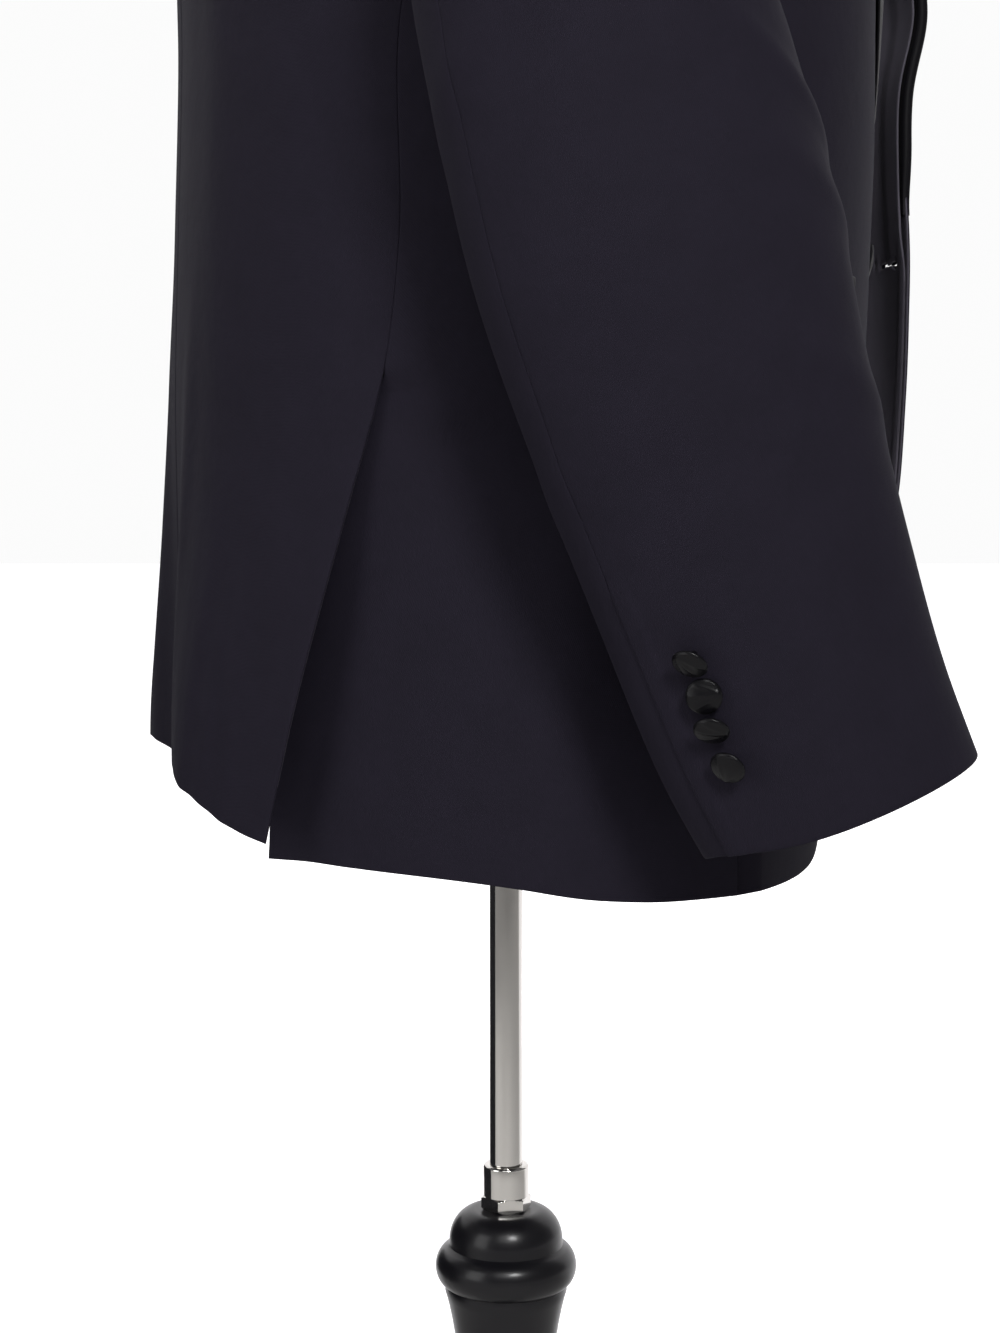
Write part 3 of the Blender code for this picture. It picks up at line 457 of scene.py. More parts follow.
def radius(angle, height):
    """Polar radius of a superellipse, (|sin/w|^p + |cos/d|^p)^(-1/p), d differing before and behind."""
    half_width, back, front, power = section(height)
    depth = np.where(np.cos(angle) > 0, back, front)
    across = np.abs(np.sin(angle) / half_width) ** power
    along = np.abs(np.cos(angle) / depth) ** power
    return (across + along) ** (-1 / power)


def front_angle(from_centre, height):
    """Angle of the point on the front that lies from_centre away from the middle."""
    half_width, _, front, power = section(height)
    share = np.clip(from_centre / half_width, 0.0, 1.0)
    return np.arctan2(from_centre, -front * (1 - share ** power) ** (1 / power))


def side_angle(backward, height):
    """Angle of the point on the side at y = backward."""
    half_width, back, front, power = section(height)
    share = np.clip(np.abs(backward) / np.where(backward > 0, back, front), 0.0, 1.0)
    return np.arctan2(half_width * (1 - share ** power) ** (1 / power), backward)


def drape(angle, height):
    """Lobe on each side of the centre back: a bell curve of the angle that fades upwards."""
    lobe = np.exp(-((np.abs(angle) - LOBE_ANGLE) / LOBE_SPREAD) ** 2)
    return LOBE_RISE * lobe * (1 - ease(height, *LOBE_FADE))


def ridges(angle, height, side):
    """Soft ridges: bell curves across lines that lean from a foot to a top, faded at the top."""
    total = 0.0 * angle * height
    for hand, foot, top, low, high, half, rise in RIDGES:
        if hand == side:
            climb = np.clip((height - low) / (high - low), 0.0, 1.5)
            line = np.radians(foot + (top - foot) * climb)
            fade = (1 - ease(climb, 0.55, 1.2)) * ease(climb, -0.3, 0.1)
            total = total + rise * fade * np.exp(-((angle - line) / np.radians(half)) ** 2)
    return total


def swing(angle, height, side):
    """How far a front hangs forward, more and more towards its free edge."""
    if side > 0:
        return read(SWING, height, 1) * ease(angle, SWING_START, SWING_END)
    return read(SWING, height, 2) * ease(angle, SWING_START + RIGHT_SWING_LATER, SWING_END)


def body(angle, height, side):
    """Point of the jacket's outer face, reach*(sin, cos) of the angle, less the swing of the fronts."""
    reach = radius(angle, height) + drape(angle, height) + ridges(angle, height, side)
    across = side * reach * np.sin(angle)
    back = reach * np.cos(angle) - swing(angle, height, side)
    return np.stack([across, back, height + 0.0 * reach], axis=-1)


def body_normal(angle, height, side):
    """Outward normal of the jacket's face, from small steps along both of its directions."""
    step = 1e-4
    along_angle = body(angle + step, height, side) - body(angle - step, height, side)
    along_height = body(angle, height + step, side) - body(angle, height - step, side)
    return unit(-side * np.cross(along_angle, along_height))


def on_body(angle, height, side, out=0.0):
    """Point moved out of the jacket's face along its normal."""
    out = np.broadcast_to(np.asarray(out, dtype=float), np.shape(angle))[..., None]
    return body(angle, height, side) + out * body_normal(angle, height, side)


def coons(left, right, bottom, top, share):
    """Grid of (angle, height) between four edges: sides + ends - corners, at the column shares."""
    climb = (left[:, 1] + right[:, 1]) / 2
    t = ((climb - climb[0]) / (climb[-1] - climb[0]))[:, None, None]
    s = share[None, :, None]
    sides = (1 - s) * left[:, None] + s * right[:, None]
    ends = (1 - t) * bottom[None] + t * top[None]
    corners = (1 - t) * ((1 - s) * left[0] + s * right[0]) + t * ((1 - s) * left[-1] + s * right[-1])
    return sides + ends - corners


def close_ended(count, near=0.0035):
    """Shares from 0 to 1, even in the middle and with a few close ones at each end for a rounded edge."""
    steps = near * END_STEPS
    middle = np.linspace(near, 1 - near, count)[1:-1]
    return np.concatenate([steps, middle, 1 - steps[::-1]])


def resampled(edge, shares):
    """Points of an edge at shares of its own length; a column of angles counts as metres at 0.2 m."""
    scale = np.array([0.2, 1.0])
    along = np.concatenate([[0.0], np.cumsum(np.linalg.norm(np.diff(edge, axis=0) * scale, axis=1))])
    return np.stack([np.interp(shares * along[-1], along, column) for column in edge.T], axis=-1)


def travelled(points, axis):
    """Distance travelled along an axis of a grid of points, 0 at its first row or column."""
    steps = np.linalg.norm(np.diff(points, axis=axis), axis=-1)
    start = np.zeros_like(np.take(steps, [0], axis=axis))
    return np.concatenate([start, np.cumsum(steps, axis=axis)], axis=axis)


def edge_distance(points, edges):
    """Distance of each grid point to the nearest of the named edges: L, R, B and T."""
    across = travelled(points, 1)
    along = travelled(points, 0)
    distances = {"L": across, "R": across[:, -1:] - across, "B": along, "T": along[-1:] - along}
    found = np.full(points.shape[:2], 1.0)
    for edge in edges:
        found = np.minimum(found, distances[edge])
    return found


def grid_normals(points, wrap=False):
    """Unit normals of a grid from the cross product of its two central differences."""
    down = np.gradient(points, axis=0)
    if wrap:
        across = np.roll(points, -1, axis=1) - np.roll(points, 1, axis=1)
    else:
        across = np.gradient(points, axis=1)
    return unit(np.cross(across, down))


def new_object(name, vertices, faces, uvs=None, materials=(), face_materials=None, sharp=None):
    """Mesh object at the origin from arrays of points and faces, shaded smooth."""
    mesh = bpy.data.meshes.new(name)
    points = np.asarray(vertices, dtype=float).tolist()
    mesh.from_pydata(points, [], [tuple(map(int, face)) for face in faces])
    mesh.shade_smooth()
    if sharp is not None:
        mesh.set_sharp_from_angle(angle=np.radians(sharp))
    if uvs is not None:
        layer = mesh.uv_layers.new(name="cloth")
        corner = np.zeros(len(mesh.loops), dtype=np.int32)
        mesh.loops.foreach_get("vertex_index", corner)
        layer.data.foreach_set("uv", np.asarray(uvs, dtype=np.float32)[corner].ravel())
    for made in materials:
        mesh.materials.append(made)
    if face_materials is not None:
        mesh.polygons.foreach_set("material_index", np.asarray(face_materials, dtype=np.int32))
    mesh.update()
    made = bpy.data.objects.new(name, mesh)
    bpy.context.scene.collection.objects.link(made)
    return made


def shell(name, outer, inner, materials, keep=None, wool_inside=None):
    """Closed sheet between two grids: outer faces, inner faces and a rim; UVs are distances in metres."""
    rows, cols = outer.shape[:2]
    count = rows * cols
    index = np.arange(count).reshape(rows, cols)
    face = np.stack([index[:-1, :-1], index[:-1, 1:], index[1:, 1:], index[1:, :-1]], axis=-1).reshape(-1, 4)
    painted = np.ones(len(face)) if wool_inside is None else np.where(wool_inside.ravel(), 0.0, 1.0)
    if keep is not None:
        face, painted = face[keep.ravel()], painted[keep.ravel()]
    r, c = rows // 2, cols // 2
    turn = np.cross(outer[r, c + 1] - outer[r, c], outer[r + 1, c] - outer[r, c])
    if np.dot(turn, outer[r, c] - inner[r, c]) < 0:
        face = face[:, ::-1]
    start = face.ravel()
    stop = np.roll(face, -1, axis=1).ravel()
    lone = ~np.isin(start * count + stop, stop * count + start)
    start, stop = start[lone], stop[lone]
    rim = np.stack([stop, start, start + count, stop + count], axis=-1)
    middle = (outer + inner) / 2
    uv = np.stack([travelled(middle, 1), travelled(middle, 0)], axis=-1).reshape(-1, 2)
    faces = np.concatenate([face, face[:, ::-1] + count, rim])
    painted = np.concatenate([np.zeros(len(face)), painted, np.zeros(len(rim))])
    used, faces = np.unique(faces, return_inverse=True)
    vertices = np.concatenate([outer.reshape(-1, 3), inner.reshape(-1, 3)])[used]
    uv = np.concatenate([uv, uv])[used]
    return new_object(name + "_cloth", vertices, faces.reshape(-1, 4), uv, materials, painted)


def rounded(middle, edges, rounding, left):
    """Share of the thickness that is kept near the named edges, down to what is left at the edge itself."""
    near = np.clip(edge_distance(middle, edges) / rounding, 0.0, 1.0)
    return left + (1 - left) * np.sqrt(1 - (1 - near) ** 2)


def cloth(name, middle, outward, thickness, materials, free="", seams="", rests_on=("form_torso",),
          rounding=EDGE_ROUND, turned_up=0.0, vent_edge="", keep=None,
          reference=None):
    """Sheet of cloth round a middle grid, rounded at its free edges and a little drawn in at its seams.

    Half the thickness is thickness/2 * (a + (1 - a)*sqrt(1 - (1 - d)^2)), d being the distance to the edge
    over the rounding and a the share that is left at the edge itself.
    """
    normal = grid_normals(middle)
    r, c = reference if reference is not None else (middle.shape[0] // 2, middle.shape[1] // 2)
    normal = normal * np.sign(np.dot(normal[r, c], outward))
    half = rounded(middle, free, rounding, FREE_EDGE_LEFT)
    half = np.minimum(half, rounded(middle, seams, SEAM_ROUND, SEAM_LEFT))
    if vent_edge:
        opened = np.minimum(half, rounded(middle, vent_edge, rounding, FREE_EDGE_LEFT))
        half = np.where(middle[..., 2] < VENT_OPEN_BELOW, opened, half)
    half = (thickness / 2 * half)[..., None]
    along = travelled(middle, 0)
    wool_inside = (along < turned_up)[1:, 1:] if turned_up else None
    made = shell(name, middle + half * normal, middle - half * normal, materials, keep, wool_inside)
    crossed = np.cross(middle[:-1, 1:] - middle[:-1, :-1], middle[1:, :-1] - middle[:-1, :-1])
    return finished(made, (name,))


def finished(made, nodes=()):
    """A piece that rides on the one body and the nodes that it stands for."""
    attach(made, "root")
    if nodes:
        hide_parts(*nodes)
    return made


class Socket:
    """A shader socket that Python's operators work on, each through one Math node."""

    def __init__(self, tree, source):
        self.tree = tree
        self.source = source

    def _maths(self, operation, *values):
        return node(self.tree, "ShaderNodeMath", {"operation": operation}, values)

    def __add__(self, other):
        return self._maths("ADD", self, other)

    def __mul__(self, other):
        return self._maths("MULTIPLY", self, other)

    def __truediv__(self, other):
        return self._maths("DIVIDE", self, other)


def node(tree, kind, settings, values, output=0):
    """New node of a kind, its settings set first, its sockets then given values or links."""
    made = tree.nodes.new(kind)
    for key, value in settings.items():
        setattr(made, key, value)
    pairs = values.items() if isinstance(values, dict) else enumerate(values)
    for key, value in pairs:
        if isinstance(value, Socket):
            tree.links.new(value.source, made.inputs[key])
        else:
            made.inputs[key].default_value = value
    return Socket(tree, made.outputs[output])


def finish_of(name, colour, roughness, **shader_values):
    """New material and its tree, with the shader's own colour, roughness and other even values set."""
    made = bpy.data.materials.new(name)
    made.use_nodes = True
    shader = made.node_tree.nodes["Principled BSDF"]
    shader.inputs["Base Color"].default_value = (*colour, 1.0)
    shader.inputs["Roughness"].default_value = roughness
    for key, value in shader_values.items():
        shader.inputs[key.replace("_", " ")].default_value = value
    made.diffuse_color = (*colour, 1.0)
    return made, made.node_tree, shader


def link(tree, source, shader, name):
    tree.links.new(source.source, shader.inputs[name])


def coordinate(tree, output):
    """The piece's own coordinate: 2 for its UV in metres of cloth, 3 for its place in the object."""
    return node(tree, "ShaderNodeTexCoord", {}, {}, output)


def bump(tree, height, strength, distance, under=None):
    """Normal from a relief, over another normal where one is given."""
    values = {"Strength": strength, "Distance": distance, "Height": height}
    if under is not None:
        values["Normal"] = under
    return node(tree, "ShaderNodeBump", {}, values)


def scaled(colour, share):
    return tuple(share * part for part in colour)


def sines(tree, place, waves, twist=(1.0, 0.0)):
    """Waves across a place: the sine of 2 pi times its two parts, weighted by the twist, over the length."""
    first = node(tree, "ShaderNodeSeparateXYZ", {}, [place])
    second = Socket(tree, first.source.node.outputs[1])
    along = first * (2 * np.pi * twist[0] / waves) + second * (2 * np.pi * twist[1] / waves)
    return node(tree, "ShaderNodeMath", {"operation": "SINE"}, [along])


def mixed(tree, share, low, high):
    """Colour between two others by a share."""
    return node(tree, "ShaderNodeMix", {"data_type": "RGBA"},
                {0: share, 6: (*low, 1.0), 7: (*high, 1.0)}, 2)


def noise(tree, place, scale, detail=3.0, roughness=0.55):
    values = {"Vector": place, "Scale": scale, "Detail": detail, "Roughness": roughness}
    return node(tree, "ShaderNodeTexNoise", {}, values)


def worsted():
    """Black worsted: a fine twill in relief, a slub of tone over a few centimetres and a soft nap."""
    made, tree, shader = finish_of("black worsted", WOOL_COLOUR, 0.78, Sheen_Weight=0.02,
                                   Sheen_Roughness=0.45, Specular_IOR_Level=0.06)
    shader.inputs["Sheen Tint"].default_value = (0.55, 0.55, 0.68, 1.0)
    place = coordinate(tree, 2)
    slub = noise(tree, place, 34.0, 4.0)
    link(tree, mixed(tree, slub, scaled(WOOL_COLOUR, 0.84), scaled(WOOL_COLOUR, 1.16)), shader, "Base Color")
    twill = sines(tree, place, 0.00085, (0.80, 0.60))
    weft = sines(tree, place, 0.00060, (-0.35, 0.94))
    weave = bump(tree, twill * 0.5 + weft * 0.25 + noise(tree, place, 900.0, 2.0) * 0.9, 0.32, 0.00022)
    link(tree, bump(tree, noise(tree, place, 62.0, 2.5), 0.22, 0.0022, weave), shader, "Normal")
    link(tree, slub * 0.10 + 0.72, shader, "Roughness")
    return made


def satin(name, colour, roughness, twist, gloss):
    """Satin weave: long floats that catch the light in one direction, with faint ripples."""
    made, tree, shader = finish_of(name, colour, roughness, Sheen_Weight=0.03, Sheen_Roughness=0.30,
                                   Specular_IOR_Level=gloss, Anisotropic=0.35)
    place = coordinate(tree, 2)
    ripple = noise(tree, place, 26.0, 3.0)
    link(tree, mixed(tree, ripple, scaled(colour, 0.85), scaled(colour, 1.2)), shader, "Base Color")
    floats = sines(tree, place, 0.00045, twist)
    fine = bump(tree, floats * 0.5 + noise(tree, place, 1300.0, 1.0) * 0.5, 0.20, 0.00012)
    link(tree, bump(tree, ripple, 0.25, 0.0016, fine), shader, "Normal")
    link(tree, ripple * 0.14 + (roughness - 0.07), shader, "Roughness")
    return made


def jersey():
    """Smooth knitted skin of the form: fine ribs and a little fuzz."""
    made, tree, shader = finish_of("black jersey", (0.014, 0.014, 0.016), 0.80, Sheen_Weight=0.25,
                                   Sheen_Roughness=0.5, Specular_IOR_Level=0.25)
    place = coordinate(tree, 2)
    ribs = sines(tree, place, 0.0011) + noise(tree, place, 300.0)
    link(tree, bump(tree, ribs, 0.25, 0.0003), shader, "Normal")
    return made


def lacquer():
    """Black lacquered wood: a deep coat over faint grain that runs along the turning."""
    made, tree, shader = finish_of("black lacquer", (0.0065, 0.0062, 0.0072), 0.40, Coat_Weight=0.26,
                                   Coat_Roughness=0.20, Specular_IOR_Level=0.20)
    place = coordinate(tree, 3)
    stretched = node(tree, "ShaderNodeMapping", {}, {"Vector": place, "Scale": (60.0, 60.0, 4.0)})
    grain = noise(tree, stretched, 1.6, 6.0, 0.6)
    link(tree, mixed(tree, grain, (0.0040, 0.0038, 0.0050), (0.0068, 0.0064, 0.0084)), shader, "Base Color")
    link(tree, bump(tree, grain, 0.10, 0.0004), shader, "Normal")
    link(tree, noise(tree, place, 22.0, 4.0) * 0.18 + 0.24, shader, "Roughness")
    return made


def polished_chrome():
    """Chrome plate: bright, with a faint lengthwise polish and slightly uneven gloss."""
    made, tree, shader = finish_of("polished chrome", (0.66, 0.64, 0.61), 0.10, Metallic=1.0)
    place = coordinate(tree, 3)
    stretched = node(tree, "ShaderNodeMapping", {}, {"Vector": place, "Scale": (900.0, 900.0, 6.0)})
    link(tree, bump(tree, noise(tree, stretched, 1.0, 3.0), 0.06, 0.0001), shader, "Normal")
    link(tree, noise(tree, place, 45.0, 3.0) * 0.10 + 0.05, shader, "Roughness")
    return made


def thread():
    """Twisted buttonhole thread."""
    made, tree, shader = finish_of("black thread", (0.012, 0.011, 0.014), 0.55, Sheen_Weight=0.2)
    twist = sines(tree, coordinate(tree, 2), 0.0008, (0.2, 1.0))
    link(tree, bump(tree, twist, 0.8, 0.0003), shader, "Normal")
    return made


WOOL_COLOUR = (0.0132, 0.0114, 0.0184)
SATIN_COLOUR = (0.0042, 0.0039, 0.0052)
BLACK_WORSTED = worsted()
BLACK_SATIN = satin("black satin", SATIN_COLOUR, 0.52, (0.15, 1.0), 0.07)
BUTTON_SATIN = satin("covered button satin", scaled(SATIN_COLOUR, 0.8), 0.23, (0.6, 0.8), 0.19)
# Painted light: the lining is coloured far lighter than black cloth, standing in for light that hardly
# reaches the jacket's inside
LINING_PAINTED_LIGHTER = satin("lining lightened as painted light", (0.0700, 0.0650, 0.0820), 0.60, (1.0, 0.1), 0.15)
BLACK_JERSEY = jersey()
BLACK_LACQUER = lacquer()
CHROME = polished_chrome()
BLACK_THREAD = thread()
LINED = (BLACK_WORSTED, LINING_PAINTED_LIGHTER)
ALL_WOOL = (BLACK_WORSTED, BLACK_WORSTED)
ALL_SATIN = (BLACK_SATIN, BLACK_SATIN)


def hem_path(table, shares):
    """(angle, height) along a hem at shares of its angle."""
    angle = table[0, 0] + shares * (table[0, -1] - table[0, 0])
    return paired(np.radians(angle), read(table, angle))


def seam_path(table, count):
    """(angle, height) along the whole of an upright seam."""
    height = np.linspace(table[0, 0], table[0, -1], count)
    return paired(np.radians(read(table, height)), height)


def armhole(turn):
    """(angle, height) round the armhole, an egg: turn is 0 at the shoulder and grows over the back."""
    height = ARMHOLE_MIDDLE + ARMHOLE_HALF_HEIGHT * np.cos(turn)
    depth = np.where(np.sin(turn) > 0, ARMHOLE_BACK, ARMHOLE_FRONT)
    backward = depth * np.sin(turn) * (1 - ARMHOLE_FULLNESS * np.cos(turn))
    return paired(side_angle(backward, height), height)


def climb_of(edge):
    """Share of its climb that each point of a long edge has made."""
    return (edge[:, 1] - edge[0, 1]) / (edge[-1, 1] - edge[0, 1])


def on_both(make):
    """Runs a maker of pieces for the wearer's left side and then for the right."""
    for side, hand in ((1, "left"), (-1, "right")):
        make(side, hand)


def back_panels():
    """Backs: centre seam, neck, shoulder, armhole and side seam, with the vent's flap flared out below."""
    lower = seam_path(BACK_SEAM, 200)
    hole = armhole(np.linspace(BACK_JOIN, 0.0, 120))
    shoulder = paired(np.pi / 2, np.linspace(hole[-1, 1], NECKLINE[1][-1], 12)[1:])
    right = resampled(np.concatenate([lower[:-1], hole, shoulder]), close_ended(BACK_CELLS[0]))
    low = BACK_HEM[1][0]
    left = paired(0.0, low + climb_of(right) * (NECKLINE[1][0] - low))
    share = close_ended(BACK_CELLS[1])
    neck = 90.0 * share
    top = paired(np.radians(neck), read(NECKLINE, neck))
    grid = coons(left, right, hem_path(BACK_HEM, share), top, share)
    angle, height = grid[..., 0], grid[..., 1]
    flare = VENT_FLARE * ease(share[None, :], *FLARE_ACROSS) * (1 - ease(height, *FLARE_FADE))
    pressed = -CENTRE_PRESS * np.exp(-(angle / CENTRE_PRESS_SPREAD) ** 2)

    def make(side, hand):
        middle = on_body(angle, height, side, flare + pressed - WOOL / 2)
        cloth("back_" + hand, middle, body_normal(0.7, 1.0, side), WOOL, LINED, free="B", seams="LRT",
              turned_up=BODY_TURN_UP, vent_edge="R")

    on_both(make)


def side_panels():
    """Side bodies: from the vent's underlap to the front seam, up to the bottom of the armhole."""
    left = seam_path(BACK_SEAM, 240)
    tucked = np.radians(read(UNDERLAP, left[:, 1]))
    under = 1 - ease(left[:, 1], *UNDERLAP_FADE)
    left[:, 0] += under * (np.minimum(tucked, left[:, 0]) - left[:, 0])
    left[0] = np.radians(UNDERLAP[1][0]), UNDERLAP[0][0]
    left[-1] = armhole(BACK_JOIN)
    left = resampled(left, close_ended(SIDE_CELLS[0]))
    rise = FRONT_SEAM[0][0] + climb_of(left) * (FRONT_SEAM[0][-1] - FRONT_SEAM[0][0])
    right = paired(np.radians(read(FRONT_SEAM, rise)), rise)
    right[-1] = armhole(FRONT_JOIN)
    share = close_ended(SIDE_CELLS[1])
    bottom = hem_path(SIDE_HEM, share)
    bottom[0], bottom[-1] = left[0], right[0]
    top = armhole(BACK_JOIN + share * (FRONT_JOIN - BACK_JOIN))
    grid = coons(left, right, bottom, top, share)
    angle, height = grid[..., 0], grid[..., 1]
    recess = VENT_RECESS * (1 - ease(share[None, :], *RECESS_ACROSS)) * (1 - ease(height, *RECESS_FADE))
    past = angle - np.radians(read(BACK_SEAM, height))
    step = VENT_STEP * (1 - ease(past, *STEP_ACROSS)) * (1 - ease(height, *STEP_FADE))

    def make(side, hand):
        middle = on_body(angle, height, side, -recess - step - WOOL / 2)
        cloth("side_" + hand, middle, body_normal(1.4, 1.0, side), WOOL, LINED, free="B", seams="LRT",
              turned_up=BODY_TURN_UP, vent_edge="L")

    on_both(make)


def front_long_edges(shares):
    """(angle, height) of a front's side edge and of its free edge, in matching rows."""
    hole = armhole(np.linspace(FRONT_JOIN, 2 * np.pi, 120))
    left = resampled(np.concatenate([seam_path(FRONT_SEAM, 240)[:-1], hole]), shares)
    heights = FRONT_EDGE[0][0] + climb_of(left) * (FRONT_EDGE[0][-1] - FRONT_EDGE[0][0])
    out = read(FRONT_EDGE, heights) + ROLL_ROOM * ease(heights, *ROLL_OPENS)
    return left, paired(front_angle(out, heights), heights)


def front_grid():
    """(angle, height) over a front, with rows set close together across the buttonhole."""
    rows = close_ended(FRONT_CELLS[0])
    columns = close_ended(FRONT_CELLS[1])
    right = front_long_edges(rows)[1]
    climb = FRONT_EDGE[0][-1] - FRONT_EDGE[0][0]
    target = np.interp(BUTTONHOLE_HEIGHT, right[:, 1], rows)
    near = target + BUTTONHOLE_ROWS / climb
    rows = np.sort(np.concatenate([rows[np.abs(rows - target) > BUTTONHOLE_CLEARED], near]))
    left, right = front_long_edges(rows)
    hem = resampled(smoothed_path(FRONT_HEM.T, 200), columns)
    bottom = paired(front_angle(hem[:, 0], hem[:, 1]), hem[:, 1])
    bottom[0], bottom[-1] = left[0], right[0]
    top = (1 - columns[:, None]) * left[-1] + columns[:, None] * right[-1]
    return coons(left, right, bottom, top, columns)


def buttonhole(middle):
    """Cells of a keyhole: a bar of BUTTONHOLE_BAR half height and a round end near the free edge."""
    centre = (middle[1:, 1:] + middle[:-1, :-1]) / 2
    inward = travelled(middle, 1)
    inward = (inward[:, -1:] - inward)[1:, 1:] / 2 + (inward[:, -1:] - inward)[:-1, :-1] / 2
    rise = centre[..., 2] - BUTTONHOLE_HEIGHT
    bar = (np.abs(rise) < BUTTONHOLE_BAR) & (inward > BUTTONHOLE_START) & (inward < BUTTONHOLE_END)
    eye = rise ** 2 + (inward - BUTTONHOLE_START) ** 2 < BUTTONHOLE_EYE ** 2
    return bar | eye


def fronts():
    """Fronts and, pressed on the inside of their free edges, the facings that run under the lapels' rolls."""
    grid = front_grid()
    angle, height = grid[..., 0], grid[..., 1]
    rows = int(np.sum(grid[:, -1, 1] < FACING_TOP))
    first = int(grid.shape[1] * FACING_START)
    inside = grid[:rows, first:].copy()
    free_height = inside[:, -1, 1]
    under_roll = ease(free_height, *UNDER_ROLL)
    past = FACING_PAST_EDGE + (FACING_PAST_EDGE_AT_ROLL - FACING_PAST_EDGE) * under_roll
    edge = front_angle(read(FRONT_EDGE, free_height) + past, free_height)
    share = np.linspace(0.0, 1.0, inside.shape[1])[None, :]
    inside[..., 0] += share ** 6 * (edge - inside[:, -1, 0])[:, None]

    def make(side, hand):
        middle = on_body(angle, height, side, -WOOL / 2)
        hole = buttonhole(middle)
        cloth("front_" + hand, middle, body_normal(2.2, 1.1, side), WOOL, LINED, free="BR", seams="LT",
              turned_up=FRONT_TURN_UP, keep=~hole if side > 0 else None)
        under = -WOOL - SATIN / 2
        inward = travelled(on_body(inside[..., 0], inside[..., 1], side, under), 1)
        inward = inward[:, -1:] - inward
        pressed = 1 - ease(inward, *FACING_PRESS_FADE)
        apart = FACING_GAP * ease(inward, *FACING_GAP_FADE) + FACING_PRESS * pressed
        apart = apart + (LAPEL_ROOM - apart) * under_roll[:, None] * (1 - ease(inward, *UNDER_ROLL_FADE))
        laid = on_body(inside[..., 0], inside[..., 1], side, under - apart)
        # The facings take the lining that is coloured lighter as painted light
        cloth("facing_" + hand, laid, body_normal(2.6, 1.0, side), SATIN, (LINING_PAINTED_LIGHTER, LINING_PAINTED_LIGHTER), free="BR",
              seams="LT", keep=~hole[:rows - 1, first:] if side > 0 else None)

    on_both(make)


def buttonhole_stitching():
    """Raised twisted thread round the buttonhole, laid on both faces of the left front.

    The loop runs along the upper edge, round the far end, back along the lower edge and round the eye.
    """
    length = BUTTONHOLE_END - BUTTONHOLE_START
    bend = np.pi * BUTTONHOLE_RIM
    around = np.linspace(0.0, 1.0, 181)[:-1] * (2 * length + 2 * bend)
    parts = [around < length, around < length + bend, around < 2 * length + bend]
    end = (around - length) / BUTTONHOLE_RIM
    last = (around - 2 * length - bend) / BUTTONHOLE_RIM
    inward = np.select(parts, [around, length + BUTTONHOLE_RIM * np.sin(end), 2 * length + bend - around],
                       -EYE_REACH * BUTTONHOLE_RIM * np.sin(last))
    rise = np.select(parts, [BUTTONHOLE_RIM, BUTTONHOLE_RIM * np.cos(end), -BUTTONHOLE_RIM],
                     -BUTTONHOLE_RIM * np.cos(last))
    height = BUTTONHOLE_HEIGHT + rise * (1 + EYE_SWELL * (inward < EYE_END))
    angle = front_angle(read(FRONT_EDGE, height) + BUTTONHOLE_START + inward, height)
    path = on_body(angle, height, 1, -STITCHING_IN)
    made = tube("buttonhole_stitching", path, body_normal(angle, height, 1), *STITCHING_OVAL, BLACK_THREAD)
    finished(made)


def tube(name, path, normal, width, height, made_of, sides=10):
    """Closed loop swept with an oval section: width*cos across the path, height*sin along the normal."""
    forward = unit(np.roll(path, -1, axis=0) - np.roll(path, 1, axis=0))
    across = unit(np.cross(forward, normal))
    turn = np.arange(sides) * 2 * np.pi / sides
    points = (path[:, None] + width * np.cos(turn)[None, :, None] * across[:, None]
              + height * np.sin(turn)[None, :, None] * normal[:, None])
    index = np.arange(points.shape[0] * sides).reshape(-1, sides)
    beside = np.roll(index, -1, axis=1)
    faces = np.stack([index, np.roll(index, -1, axis=0), np.roll(beside, -1, axis=0), beside], axis=-1)
    uv = paired(turn * width, travelled(path[:, None], 0))
    return new_object(name, points.reshape(-1, 3), faces.reshape(-1, 4), uv.reshape(-1, 2), [made_of])


def sleeve_frame(height):
    """Centre, backward direction and half sizes of the sleeve's section at a height of its centre."""
    upwards = SLEEVE[:, ::-1]
    centre_y, out_x, half_depth, half_width, fall = (read(upwards, height, row) for row in range(1, 6))
    length = np.sqrt(1 + fall ** 2)
    backward = np.stack([0 * fall, 1 / length, -fall / length], axis=-1)
    return centre_y, out_x, half_depth, half_width, backward


def sleeve_section(turn, height, side):
    """Ellipse round the sleeve's centre, turn 0 outwards and a quarter turn at the back."""
    centre_y, out_x, half_depth, half_width, backward = sleeve_frame(height)
    centre = np.stack([side * out_x, centre_y, height + 0 * out_x], axis=-1)
    outward = np.array([side, 0.0, 0.0])
    return (centre + (half_width * np.cos(turn))[..., None] * outward
            + (half_depth * np.sin(turn))[..., None] * backward)


def degrees_from(middle, turn):
    """Degrees from a middle to a turn, the short way round."""
    return (turn - middle + 180.0) % 360.0 - 180.0


def lower_turn(armhole_turn):
    """Where a column that leaves the armhole at a turn lies round the lower sleeve."""
    top_share = (armhole_turn - FORE_TURN) / (HIND_TURN + 2 * np.pi - FORE_TURN)
    under_share = (armhole_turn - HIND_TURN - 2 * np.pi) / (FORE_TURN - HIND_TURN)
    return np.where(top_share <= 1,
                    FORE_SEAM + top_share * (HIND_SEAM + 2 * np.pi - FORE_SEAM),
                    HIND_SEAM + 2 * np.pi + under_share * (FORE_SEAM - HIND_SEAM))


